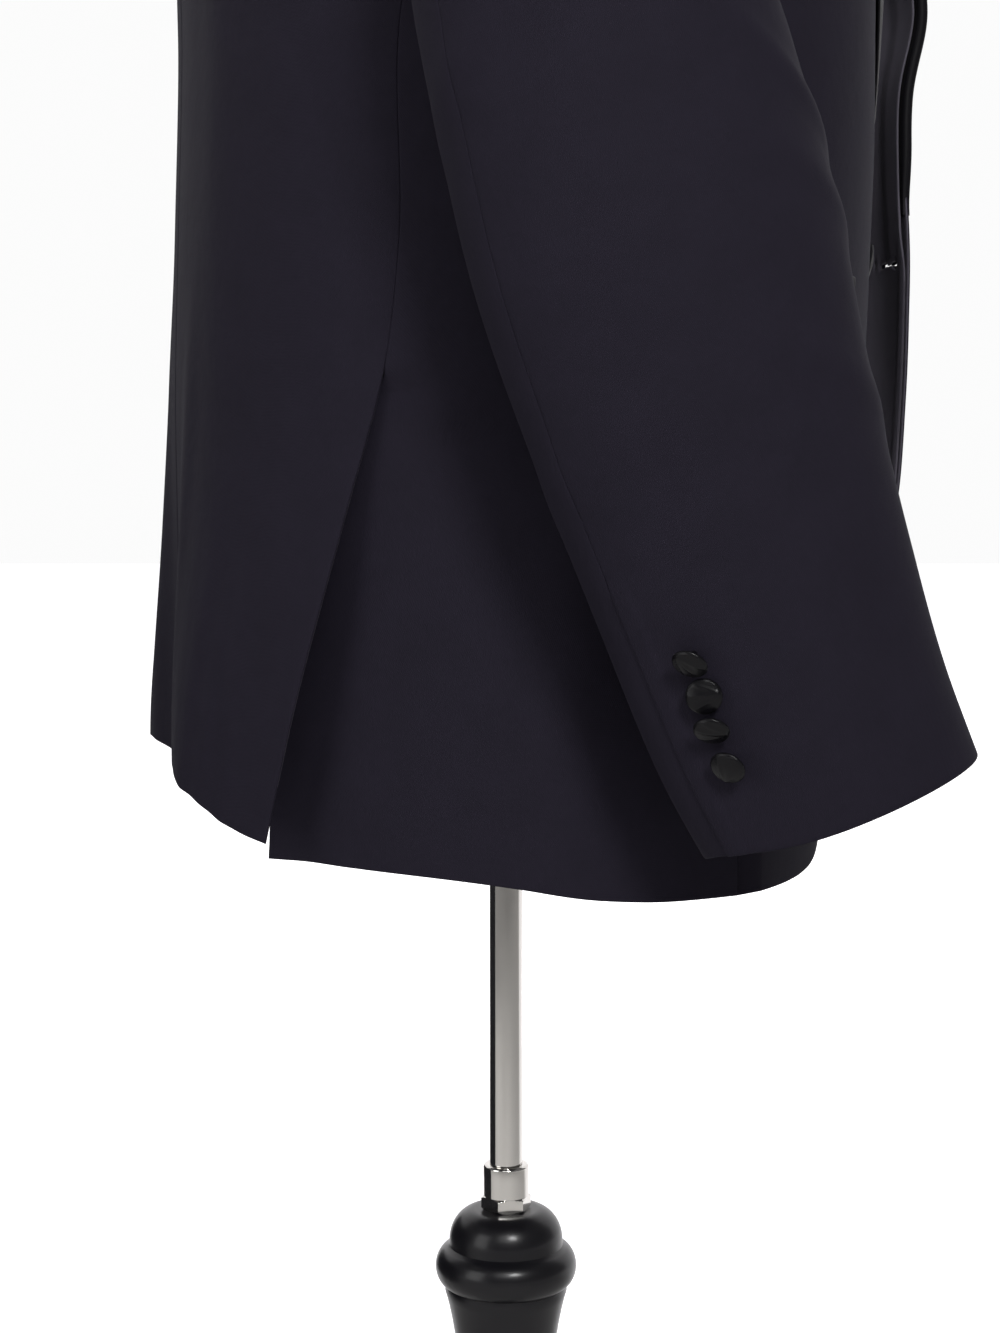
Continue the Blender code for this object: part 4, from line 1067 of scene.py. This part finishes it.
def sleeve_surface(side):
    """Outer face of a whole sleeve, rows from the armhole to the cuff, and the column of the hind seam.

    Each column leaves the armhole outwards and bends down to the first section along a cubic Bezier curve.
    """
    top = FORE_TURN + close_ended(TOP_SLEEVE_COLUMNS) * (HIND_TURN + 2 * np.pi - FORE_TURN)
    under = HIND_TURN + 2 * np.pi + close_ended(UNDER_SLEEVE_COLUMNS) * (FORE_TURN - HIND_TURN)
    turns = np.concatenate([top, under[1:]])
    ring = armhole(turns)
    start = on_body(ring[:, 0], ring[:, 1], side, ARMHOLE_GAP)
    normal = body_normal(ring[:, 0], ring[:, 1], side)
    away = start - start.mean(axis=0)
    away = unit(away - (away * normal).sum(-1, keepdims=True) * normal)
    outer_start = start + WOOL * away
    below = lower_turn(turns)
    end = sleeve_section(below, np.full(len(turns), SLEEVE[0][0]), side)
    fullness = ((1 + np.cos(turns)) / 2)[:, None]
    leave = outer_start + (CROWN_OUT[0] + CROWN_OUT[1] * fullness) * np.array([side, 0.0, 0.12])
    arrive = end + (CROWN_DOWN[0] + CROWN_DOWN[1] * fullness) * np.array([0.0, 0.08, 1.0])
    u = np.linspace(0.0, 1.0, CROWN_ROWS)[:, None, None]
    crown = ((1 - u) ** 3 * outer_start + 3 * u * (1 - u) ** 2 * leave
             + 3 * u * u * (1 - u) * arrive + u ** 3 * end)
    down = np.linspace(0.0, 1.0, LOWER_SLEEVE_ROWS + 1)[1:-1]
    shares = np.concatenate([down, 1 - 0.0035 * END_STEPS[3::-1]])
    heights = SLEEVE[0][0] + shares * (SLEEVE[0][-1] - SLEEVE[0][0])
    off = degrees_from(CUFF_LIFT_TURN, np.degrees(below))
    lifted = CUFF_LIFT * np.exp(-(off / CUFF_LIFT_SPREAD) ** 2)
    heights = heights[:, None] + lifted * shares[:, None] ** 4
    lower = sleeve_section(below[None, :] + 0 * heights, heights, side)
    outer = np.concatenate([crown, lower])
    first, last = CROWN_ROWS - CROWN_BLEND_ROWS, CROWN_ROWS + CROWN_BLEND_ROWS
    for _ in range(CROWN_BLEND_PASSES):
        beside = outer[first - 1:last - 1] + outer[first + 1:last + 1]
        outer[first:last] = (beside + 2 * outer[first:last]) / 4
    return outer, len(top), below


def sleeve_relief(outer, below, hind):
    """Height of the cloth's relief: folds at the elbow, fullness by the armhole and the cuff's overlap."""
    height = outer[..., 2]
    turn = np.degrees(below)[None, :]
    relief = 0.0 * height
    for middle, level, slope, half, spread, rise in SLEEVE_RIDGES:
        off = degrees_from(middle, turn)
        line = level + slope * off / DEGREES_IN_RADIAN
        relief = relief + rise * np.exp(-((height - line) / half) ** 2) * np.exp(-(off / spread) ** 2)
    near_shoulder = ease(outer[0:1, :, 2], 1.30, 1.40)
    relief = relief + ROPE * near_shoulder * np.exp(-((travelled(outer, 0) - ROPE_AT) / ROPE_SPREAD) ** 2)
    lap = travelled(outer, 1)
    before = lap[:, hind - 1:hind] - lap
    over = CUFF_LAP * (1 - ease(np.abs(before - CUFF_LAP_WIDTH), 0.003, 0.007)) * (before >= 0)
    return relief + over * (1 - ease(height, *CUFF_LAP_TOP))


def sleeves():
    """Top and under sleeve of each arm, parted at the hind and the fore seam."""

    def make(side, hand):
        outer, hind, below = sleeve_surface(side)
        normal = side * grid_normals(outer[:, :-1], wrap=True)
        normal = -np.concatenate([normal, normal[:, :1]], axis=1)
        across = np.array([side, 0.0, 0.0])
        if (normal[120, hind // 2] * across).sum() < 0:
            normal = -normal
        middle = outer + (sleeve_relief(outer, below, hind) - WOOL / 2)[..., None] * normal
        for name, columns in (("top_sleeve_", slice(0, hind)), ("under_sleeve_", slice(hind - 1, None))):
            part = middle[:, columns]
            centre = normal[120, columns][part.shape[1] // 2]
            cloth(name + hand, part[::-1], centre, WOOL, LINED, free="B", seams="LRT", turned_up=CUFF_TURN_UP,
                  rests_on=("back_" + hand, "front_" + hand))

    on_both(make)


def shawl_lines():
    """Roll line and outer edge of the shawl and of the collar's fall, as dense (angle, height) lines."""
    found = []
    for row in (1, 2):
        height, distance = SHAWL[2 * row - 2:2 * row]
        line = np.concatenate([paired(front_angle(distance, height), height),
                               paired(np.radians(FALL[0]), FALL[row])])
        found.append(smoothed_rows(line, close_ended(SHAWL_CELLS[0])))
    return found


def smoothed_rows(points, shares):
    """Points at shares of a smooth curve through the given points, each step of it counting the same."""
    knots = np.arange(len(points), dtype=float)
    return np.stack([smooth(shares * knots[-1], knots, column) for column in points.T], axis=-1)


def lapels():
    """Satin shawl: from behind the front edge, over a soft roll, out to the shawl's edge.

    Behind the roll the sheet lies under the front. The roll is half a circle about the front's edge. In
    front the sheet bellies out by a sine of its width and lies flat again at its outer edge.
    """
    roll, edge = shawl_lines()
    roll_angle, roll_height = roll.T
    share = close_ended(SHAWL_CELLS[1], near=0.02)[None, :]
    angle = roll[:, :1] + (edge[:, :1] - roll[:, :1]) * share
    height = roll[:, 1:] + (edge[:, 1:] - roll[:, 1:]) * share
    raised = NECK_LIFT * ease(height, *NECK_LIFT_FADE)
    settled = ease(roll[:, 1:], *LAPEL_FOOT)
    belly = LAPEL_BELLY * np.sin(np.pi * share) * ease(share, 0.0, 0.25) * settled
    thick = SATIN * (0.5 + 0.5 * settled)
    level = FOOT_GAP + (LAY_GAP - FOOT_GAP) * settled + thick / 2
    behind_level = WOOL + ROLL_BEHIND + thick / 2
    by_neck = ease(roll_height, *NECK_EVENING_FADE) * ease(roll_angle, *NECK_EVENING_ANGLES)

    def make(side, hand):
        front = on_body(angle, height, side, level + belly + raised)
        normal = body_normal(roll_angle, roll_height, side)
        inward = front[:, 1] - front[:, 0]
        inward = unit(inward - (inward * normal).sum(-1, keepdims=True) * normal)
        drawn_in = (1 - settled) * ROLL_ROOM * inward
        radius_here = (level + behind_level) / 2 + raised[:, :1] / 2
        centre = front[:, 0] + drawn_in - radius_here * normal
        front = front + drawn_in[:, None] * (1 - share[..., None]) ** 8
        turn = np.linspace(np.pi, 0.0, 15)[:-1]
        reach = (ROLL_REACH[0] + ROLL_REACH[1] * settled) * radius_here
        bend = (centre[:, None] + (radius_here * np.cos(turn))[..., None] * normal[:, None]
                - (reach * np.sin(turn))[..., None] * inward[:, None])
        middle = np.concatenate([tucked(roll, side, behind_level, bend[:, :1]), bend, front], axis=1)
        evened_by_neck(middle, by_neck)
        laid = middle[:, -front.shape[1] + 2:]
        around = np.arctan2(side * laid[..., 0], laid[..., 1])
        outward = body_normal(around, laid[..., 2], side)
        clear = ((laid - body(around, laid[..., 2], side)) * outward).sum(-1)
        short = np.maximum(NECK_CLEARANCE + thick / 2 - clear, 0.0) * (by_neck[:, None] > 0.02)
        laid += short[..., None] * outward
        cloth("lapel_" + hand, middle, body_normal(2.4, 1.2, side), thick, ALL_SATIN, free="BR", seams="LT",
              rests_on=("front_" + hand, "collar_stand"), reference=(60, -20))

    on_both(make)


def tucked(roll, side, depth, bend_start):
    """The part of a lapel that lies behind the front, shifted so that it meets the start of the bend."""
    step = 1e-3
    here = body(roll[:, 0], roll[:, 1], side)
    speed = np.linalg.norm(body(roll[:, 0] - step, roll[:, 1], side) - here, axis=-1) / step
    back = np.linspace(ROLL_TUCK, 0.0, 12)[:-1][None, :]
    angle = roll[:, :1] - back / speed[:, None]
    behind = on_body(angle, roll[:, 1:] + 0 * angle, side, -depth)
    return behind + bend_start - on_body(roll[:, :1], roll[:, 1:], side, -depth)


def evened_by_neck(middle, share):
    """Evens a grid along its rows, in place, by passes of 1-2-1 that take effect by a share per row."""
    share = share[1:-1, None, None]
    for _ in range(NECK_EVENING_PASSES):
        evened = (middle[:-2] + 2 * middle[1:-1] + middle[2:]) / 4
        middle[1:-1] += share * (evened - middle[1:-1])


def collar_stand():
    """Band between the neckline and the collar's fold, round the back of the neck."""
    angle = np.linspace(-90.0, 90.0, 150)
    low = read(NECKLINE, np.abs(angle))
    high = read(FALL[:, ::-1], np.abs(angle)) - BAND_BELOW_FOLD
    share = close_ended(12, near=0.03)[:, None]
    heights = (1 - share) * low + share * high
    middle = on_body(np.radians(angle) + 0 * heights, heights, 1, -BAND_UNDER_FACE - WOOL / 2)
    cloth("collar_stand", middle, np.array([0.0, 1.0, 0.0]), WOOL, ALL_WOOL, free="T", seams="LRB")


def strip(name, angle_middle, height, slope, length, depth, side, out, thickness, materials):
    """Small rectangle of cloth laid on the jacket's face, its edges pressed down and rounded."""
    share = close_ended(80, near=0.008) - 0.5
    rise = close_ended(16, near=0.06)[:, None]
    angle = angle_middle + share[None, :] * length / radius(angle_middle, height) + 0 * rise
    heights = height + rise * depth - share[None, :] * slope * 2
    swell = STRIP_SWELL * np.sin(np.pi * rise) + 0 * angle
    middle = on_body(angle, heights, side, out - thickness / 2 + swell)
    cloth(name, middle, body_normal(angle_middle, height, side), thickness, materials, free="LRBT",
          rests_on=("front_left" if side > 0 else "front_right",),
          rounding=STRIP_ROUND)


def pockets():
    """Two jets at each hip and a welt on the left breast."""

    def make(side, hand):
        for name, drop in (("jet_upper_", 0.0), ("jet_lower_", JET_DEPTH + JET_GAP)):
            strip(name + hand, POCKET_MIDDLE, POCKET_HEIGHT - drop, POCKET_SLOPE, JET_LENGTH, JET_DEPTH, side,
                  JET_OUT, JET_THICKNESS, ALL_SATIN)

    on_both(make)
    strip("breast_welt", WELT_MIDDLE, WELT_HEIGHT, WELT_SLOPE, WELT_LENGTH, WELT_DEPTH, 1,
          WELT_OUT, WELT_THICKNESS, ALL_WOOL)


def capped(name, rings, uv, flip, made_of, sharp):
    """Closed solid through rings of points, each end drawn to a point at its middle.

    The uv has a row for each point and two more for the middles of the ends.
    """
    rows, sides = rings.shape[:2]
    index = np.arange(rows * sides).reshape(rows, sides)
    following = np.roll(index, -1, axis=1)
    if flip:
        index, following = following, index
    foot, head = rows * sides, rows * sides + 1
    faces = np.stack([index[:-1], following[:-1], following[1:], index[1:]], axis=-1).reshape(-1, 4).tolist()
    faces += [(foot, second, first) for first, second in zip(index[0], following[0])]
    faces += [(head, first, second) for first, second in zip(index[-1], following[-1])]
    vertices = np.concatenate([rings.reshape(-1, 3), [rings[0].mean(axis=0), rings[-1].mean(axis=0)]])
    made = new_object(name + "_finished", vertices, faces, uv, [made_of], sharp=sharp)
    return finished(made, (name,))


def ring_solid(name, rings, made_of, sharp=60):
    """Closed solid through rings of points, its faces outwards whichever way the rings run."""
    row = rings.shape[0] // 2
    corner = rings[row, 0]
    turn = np.cross(rings[row, 1] - corner, rings[row + 1, 0] - corner)
    flip = np.dot(turn, corner - rings[row].mean(axis=0)) < 0
    uv = np.stack([travelled(rings, 1), travelled(rings, 0)], axis=-1).reshape(-1, 2)
    return capped(name, rings, np.concatenate([uv, np.zeros((2, 2))]), flip, made_of, sharp)


def lathe(name, profile, made_of, base=(0.0, 0.0, 0.0), axis=UP, sides=96, relief=None,
          sharp=40):
    """Closed solid turned about an axis from (radius, height) points, with a relief along the axis."""
    helper = np.array([1.0, 0.0, 0.0]) if abs(axis[0]) < 0.9 else np.array([0.0, 1.0, 0.0])
    first = unit(np.cross(axis, helper))
    second = np.cross(axis, first)
    turn = np.arange(sides) * 2 * np.pi / sides
    reach, rise = np.array(profile).T[..., None] + 0 * turn
    across, along = reach * np.cos(turn), reach * np.sin(turn)
    if relief is not None:
        rise = rise + relief(across, along, reach)
    points = base + across[..., None] * first + along[..., None] * second + rise[..., None] * axis
    uv = np.stack([across, along + rise], axis=-1).reshape(-1, 2)
    uv = np.concatenate([uv, [(0.0, rise[0].mean()), (0.0, rise[-1].mean())]])
    return capped(name, points, uv, False, made_of, sharp)


def arc(centre, radii, start, stop, count):
    """(radius, height) points of an ellipse's arc, by its centre, half sizes and degrees."""
    turn = np.radians(np.linspace(start, stop, count))
    return list(zip(centre[0] + radii[0] * np.cos(turn), centre[1] + radii[1] * np.sin(turn)))


def button(name, place, normal, lean, size, folds, made_of):
    """Covered button on its shank: a satin dome with soft folds, gathered over a rounded rim."""
    axis = unit(normal + lean)
    cosine = axis @ normal
    sine = np.sqrt(max(1 - cosine ** 2, 0.0))
    lift = BUTTON_LIFT + (BUTTON_BACK * size - SHANK_RADIUS) * sine / cosine
    foot = place + (BUTTON_GAP + SHANK_RADIUS * sine) * normal - lift * (axis - cosine * normal)
    profile = [(SHANK_RADIUS * share, rise) for share, rise in ((0.6, 0.0), (0.8, 0.0004), (0.7, lift))]
    back = np.linspace(SHANK_RADIUS * 1.2, size * 0.84, 10)
    profile += [(x, lift + 0.0004 * (x / size) ** 3) for x in back]
    profile += arc((size * 0.86, lift + 0.0014), (size * 0.14, 0.0011), -80, 60, 12)
    below = len(profile)
    dome = np.linspace(0.92, 0.03, 30)
    profile += [(size * x, lift + BUTTON_EDGE + BUTTON_DOME * (1 - x ** 2.2)) for x in dome]

    def relief(across, along, reach):
        total = 0.0 * across
        for turn, off, half, rise in folds:
            line = across * np.cos(turn) + along * np.sin(turn) - off * size
            total = total + rise * np.exp(-(line / half) ** 2)
        total[:below] = 0.0
        return total * (1 - ease(reach, size * 0.80, size * 0.99))

    lathe(name, profile, made_of, foot, axis, sides=88, relief=relief, sharp=60)


def sleeve_point(turn, height, side):
    """Point and outward normal of the lower sleeve, from small steps round it and up it."""
    step = 1e-4
    turns = turn + np.array([0.0, step, 0.0])
    heights = height + np.array([0.0, 0.0, step])
    point, beside, above = sleeve_section(turns, heights, side)
    normal = unit(np.cross(beside - point, above - point))
    centre_y, out_x = sleeve_frame(height)[:2]
    outward = point - np.array([side * out_x, centre_y, height])
    return point, normal * np.sign(normal @ outward)


def buttons():
    """One button on the right front, and a close row before the hind seam of each cuff."""
    height = FRONT_BUTTON_HEIGHT
    angle = front_angle(read(FRONT_EDGE, height) + FRONT_BUTTON_IN, height)
    button("front_button", body(angle, height, -1), body_normal(angle, height, -1), FRONT_BUTTON_LEAN,
           FRONT_BUTTON_RADIUS, FRONT_BUTTON_FOLDS, BLACK_SATIN)

    def make(side, hand):
        for number, (level, before, forward, up) in enumerate(CUFF_BUTTONS):
            point, normal = sleeve_point(HIND_SEAM - np.radians(before), level, side)
            folds = [(turn + NEXT_BUTTON_TURN * number, *rest) for turn, *rest in CUFF_BUTTON_FOLDS]
            button(f"cuff_button_{hand}_{number + 1}", point, normal, np.array([0.0, -forward, up]),
                   CUFF_BUTTON_RADIUS, folds, BUTTON_SATIN)

    on_both(make)


def form_ring(turn, height):
    """Section of the form's skin, drawn in from the jacket's plain section along its slope."""
    angle = np.where(turn <= np.pi, turn, 2 * np.pi - turn)
    hand = np.where(turn <= np.pi, 1, -1)
    plain = radius(angle, height)
    slope = (radius(angle, height + 0.001) - radius(angle, height - 0.001)) / 0.002
    outward = unit(np.stack([hand * np.sin(angle), np.cos(angle), -slope], axis=-1))
    ring = np.stack([hand * plain * np.sin(angle), plain * np.cos(angle), height + 0 * plain], axis=-1)
    return ring - read(FORM, height)[..., None] * outward


def levelled(ring, height, share=1.0, middle=0.0):
    """A ring scaled by a share about a middle and laid level at a height."""
    ring = middle + (ring - middle) * share
    ring[:, 2] = height
    return ring


def form():
    """Limbless body inside the jacket with a round neck, a flat foot and a lacquered cap."""
    turn = (np.arange(FORM_SIDES) * 2 * np.pi / FORM_SIDES)[None, :]
    heights = np.concatenate([np.linspace(*rows) for rows in FORM_ROWS])[:, None]
    rings = form_ring(turn + 0 * heights, heights + 0 * turn)
    middle = rings[0].mean(axis=0)
    foot = [levelled(rings[0], FORM_FOOT + rise, share, middle) for share, rise in FOOT_ROUND]
    rings[0] = (foot[-1] + rings[1]) / 2
    neck = [levelled(rings[-1], FORM_NECK + rise) for rise in NECK_RISES]
    last = levelled(neck[-1], NECK_TOP, NECK_EDGE)
    torso = ring_solid("form_torso", np.concatenate([foot, rings, neck, [last]]), BLACK_JERSEY)
    outline = [(0.90, 0.0), (NECK_EDGE, 0.0006)]
    outline += [(NECK_EDGE + CAP_BEAD[0] * np.sin(t), 0.0055 - CAP_BEAD[1] * np.cos(t))
                for t in np.linspace(0.4, 2.7, 12)]
    outline += [(0.97 * np.cos(t), CAP_WAIST + (CAP_HEIGHT - CAP_WAIST) * np.sin(t))
                for t in np.linspace(0.05, 1.45, 18)]
    cap = [levelled(last, NECK_TOP + SEAT_GAP + rise, share) for share, rise in outline]
    ring_solid("neck_cap", np.array(cap), BLACK_LACQUER)


def stand():
    """Rod, socket, nut, turned column and three curved legs."""
    lathe("rod", [(ROD_RADIUS, height) for height in (SOCKET_TOP + SEAT_GAP, 0.66, FORM_FOOT - SEAT_GAP)],
          CHROME)
    socket = [(SOCKET_RADIUS, height) for height in (NUT_TOP + SEAT_GAP, 0.514, 0.522)]
    socket += arc((SOCKET_RADIUS - SOCKET_ROUND, SOCKET_TOP - SOCKET_ROUND), (SOCKET_ROUND, SOCKET_ROUND),
                  0, 90, 8)
    socket += [(ROD_RADIUS + SOCKET_GAP, SOCKET_TOP)]
    lathe("rod_socket", socket, CHROME)
    lock_nut()
    lathe("column", column_profile(), BLACK_LACQUER, sides=128)
    for number in range(LEG_COUNT):
        leg(number)


def lock_nut():
    """Hexagonal nut: the nearer of a hexagon and a cone that chamfers its corners at both ends."""
    turn = np.arange(NUT_SIDES) * 2 * np.pi / NUT_SIDES
    apothem = NUT_RADIUS * np.cos(np.pi / 6)
    hexagon = apothem / np.cos((turn % (np.pi / 3)) - np.pi / 6)
    height = np.linspace(COLUMN_TOP + SEAT_GAP, NUT_TOP, 21)[:, None]
    into = np.minimum(height - height[0], height[-1] - height)
    reach = np.minimum(hexagon, apothem + NUT_CHAMFER_START + into * NUT_CHAMFER)
    rings = np.stack([reach * np.sin(turn), -reach * np.cos(turn), height + 0 * reach], axis=-1)
    ring_solid("lock_nut", rings, CHROME, sharp=25)


def column_profile():
    """Turned outline from the foot to the top: hub, ring, long neck, cove, bulge and dome."""
    outline = [(0.020, 0.088), (0.034, 0.098)] + arc((HUB_RADIUS - 0.004, 0.115), (0.004, 0.010), -70, 0, 8)
    outline += [(HUB_RADIUS, h) for h in np.linspace(0.120, 0.182, 8)]
    outline += arc((HUB_RADIUS - 0.0025, 0.1845), (0.0025, 0.0025), 10, 80, 6)
    outline += [(0.0368, 0.1885)] + arc((0.034, 0.200), (0.008, 0.010), -65, 65, 18)
    outline += smoothed_path(COLUMN_NECK, 60).tolist()
    outline += arc((0.0310, 0.4714), (BULGE_RADIUS - 0.0310, 0.0115), -70, 72, 26)
    outline += [(0.0322, 0.4836)]
    outline += arc((0.0175, 0.4860), (DOME_RADIUS - 0.0175, COLUMN_TOP - 0.4860), 2, 90, 26)
    outline += [(0.0150, COLUMN_TOP), (0.0020, COLUMN_TOP)]
    return outline


def leg(number):
    """Curved leg with a rounded square section, swept outwards in an upright plane to a flat foot."""
    turn = np.pi / 2 + number * 2 * np.pi / LEG_COUNT
    out = np.array([np.cos(turn), np.sin(turn), 0.0])
    across = np.array([-np.sin(turn), np.cos(turn), 0.0])
    reach = np.linspace(LEG[0][0], LEG[0][-1], 100)[:, None]
    around = np.arange(48) * 2 * np.pi / 48
    a, b = (np.sign(wave) * np.abs(wave) ** LEG_SQUARENESS for wave in (np.cos(around), np.sin(around)))
    to_end = np.clip((reach[-1] - reach) / LEG_END_ROUND, 0, 1)
    blunt = LEG_END_LEFT + (1 - LEG_END_LEFT) * np.sqrt(1 - (1 - to_end) ** 2)
    level = np.maximum(read(LEG, reach) + read(LEG, reach, 2) * b * blunt, 0.0)
    points = (reach[..., None] * out + (LEG_HALF_WIDTH * a * blunt)[..., None] * across
              + level[..., None] * UP)
    ring_solid(f"leg_{number + 1}", points, BLACK_LACQUER)


def floor_painted_glow_and_shade():
    """Floor paper with painted light and painted shade: it glows behind the stand, under the wall and far
    from the rod, and is grey round the stand.
    """
    paper, tree, shader = finish_of("paper with painted glow and shade", PAPER_WHITE, 0.9, Emission_Strength=1.0)
    place = coordinate(tree, 3)
    behind = node(tree, "ShaderNodeVectorMath", {"operation": "DOT_PRODUCT"}, [place, tuple(AWAY)], 1)
    reach = node(tree, "ShaderNodeVectorMath", {"operation": "LENGTH"}, [place], 1)
    # Painted light: how strongly the paper glows, by how far behind the stand and how far from the rod it
    # lies
    painted_glow_ramps = ((behind, 0.30, 1.05, WALL_LIGHT), (behind, 1.60, 2.30, BACKDROP_LIGHT),
             (reach, 4.2, 6.0, BACKDROP_LIGHT))
    painted_glows = [node(tree, "ShaderNodeMapRange", {"interpolation_type": "SMOOTHSTEP"},
                  [measure, start, stop, 0.0, light]) for measure, start, stop, light in painted_glow_ramps]
    painted_glow_near = node(tree, "ShaderNodeMath", {"operation": "MAXIMUM"}, painted_glows[:2])
    painted_glow = node(tree, "ShaderNodeMath", {"operation": "MAXIMUM"}, [painted_glow_near, painted_glows[2]])
    # Painted shade: the paper's colour is grey round the stand and white where it glows
    link(tree, mixed(tree, painted_glow / WALL_LIGHT, (0.69, 0.68, 0.67), PAPER_WHITE), shader, "Base Color")
    # Painted light: the paper glows, though it is no lamp
    link(tree, mixed(tree, painted_glow, (0.0, 0.0, 0.0), (1.0, 0.985, 1.0)), shader, "Emission Color")
    return paper


def backdrop():
    """Floor with painted glow and painted shade, and a white wall and a black flag that the camera doesn't
    see but the jacket reflects.
    """
    level = [d * AWAY - t * LEFT for d in (-FLOOR_REACH, FLOOR_REACH) for t in (-FLOOR_REACH, FLOOR_REACH)]
    ground = new_object("paper_floor", level, [(0, 1, 3, 2)], None, [floor_painted_glow_and_shade()])
    line = [(WALL_FOOT + WALL_BEND * np.sin(t), WALL_BEND - WALL_BEND * np.cos(t))
            for t in np.linspace(0.0, np.pi / 2, 24)[1:]] + [(WALL_FOOT + WALL_BEND, WALL_TOP)]
    points = [d * AWAY - t * LEFT + z * UP for d, z in line for t in (-WALL_HALF_WIDTH, WALL_HALF_WIDTH)]
    faces = [(2 * i, 2 * i + 1, 2 * i + 3, 2 * i + 2) for i in range(len(line) - 1)]
    wall_paint, _, shader = finish_of("white wall", PAPER_WHITE, 0.9, Emission_Strength=1.0)
    shader.inputs["Emission Color"].default_value = WALL_GLOW
    wall = new_object("paper_wall", points, faces, None, [wall_paint])
    flag_paint = finish_of("black flag", (0.010, 0.010, 0.014), 0.9)[0]
    corners = [0.80 * LEFT + 1.60 * AWAY + z * UP for z in (0.0, FLAG_HEIGHT)]
    corners += [1.25 * LEFT - 0.20 * AWAY + z * UP for z in (FLAG_HEIGHT, 0.0)]
    flag = new_object("black_flag", corners, [(0, 1, 2, 3)], None, [flag_paint])
    wall.visible_camera = False
    flag.visible_camera = False


def room_light():
    """World that lights the jacket weakly, and that the camera sees as a pale background."""
    world = bpy.context.scene.world or bpy.data.worlds.new("studio")
    bpy.context.scene.world = world
    world.use_nodes = True
    tree = world.node_tree
    room = tree.nodes["Background"]
    room.inputs["Color"].default_value = (1.0, 1.0, 1.0, 1.0)
    room.inputs["Strength"].default_value = ROOM_LIGHT
    pale = node(tree, "ShaderNodeBackground", {}, {"Color": (1.0, 1.0, 1.0, 1.0), "Strength": BACKDROP_LIGHT})
    seen = node(tree, "ShaderNodeLightPath", {}, {})
    both = node(tree, "ShaderNodeMixShader", {}, [seen, Socket(tree, room.outputs[0]), pale])
    tree.links.new(both.source, tree.nodes["World Output"].inputs["Surface"])


def placed(name, data, place, look):
    """Lamp or camera at a place, turned to look along a direction."""
    made = bpy.data.objects.new(name, data)
    made.location = place
    made.rotation_mode = "QUATERNION"
    made.rotation_quaternion = Vector(look).to_track_quat("-Z", "Y")
    bpy.context.scene.collection.objects.link(made)
    return made


def lamps():
    """Soft rectangular lamps, each aimed at a height on the rod."""
    for name, (place, aim, size, power) in LAMPS.items():
        lamp = bpy.data.lights.new(name, "AREA")
        lamp.shape = "RECTANGLE"
        lamp.size, lamp.size_y = size
        lamp.energy = power
        placed(name, lamp, place, Vector((0.0, 0.0, aim)) - Vector(place))


def camera():
    """The photograph's view: a long lens level with the elbow, a little behind the wearer's right."""
    lens = bpy.data.cameras.new("photo")
    lens.lens = CAMERA_LENS
    lens.sensor_width = 36.0
    lens.sensor_fit = "AUTO"
    lens.shift_x = CAMERA_SHIFT
    lens.clip_start = 0.05
    look = np.cos(CAMERA_PITCH) * AWAY - np.sin(CAMERA_PITCH) * UP
    bpy.context.scene.camera = placed("photo", lens, CAMERA_HEIGHT * UP - CAMERA_REACH * AWAY, look)
    bpy.context.scene.view_settings.view_transform = "Standard"


back_panels()
side_panels()
fronts()
buttonhole_stitching()
sleeves()
lapels()
collar_stand()
pockets()
buttons()
form()
stand()
backdrop()
room_light()
lamps()
camera()
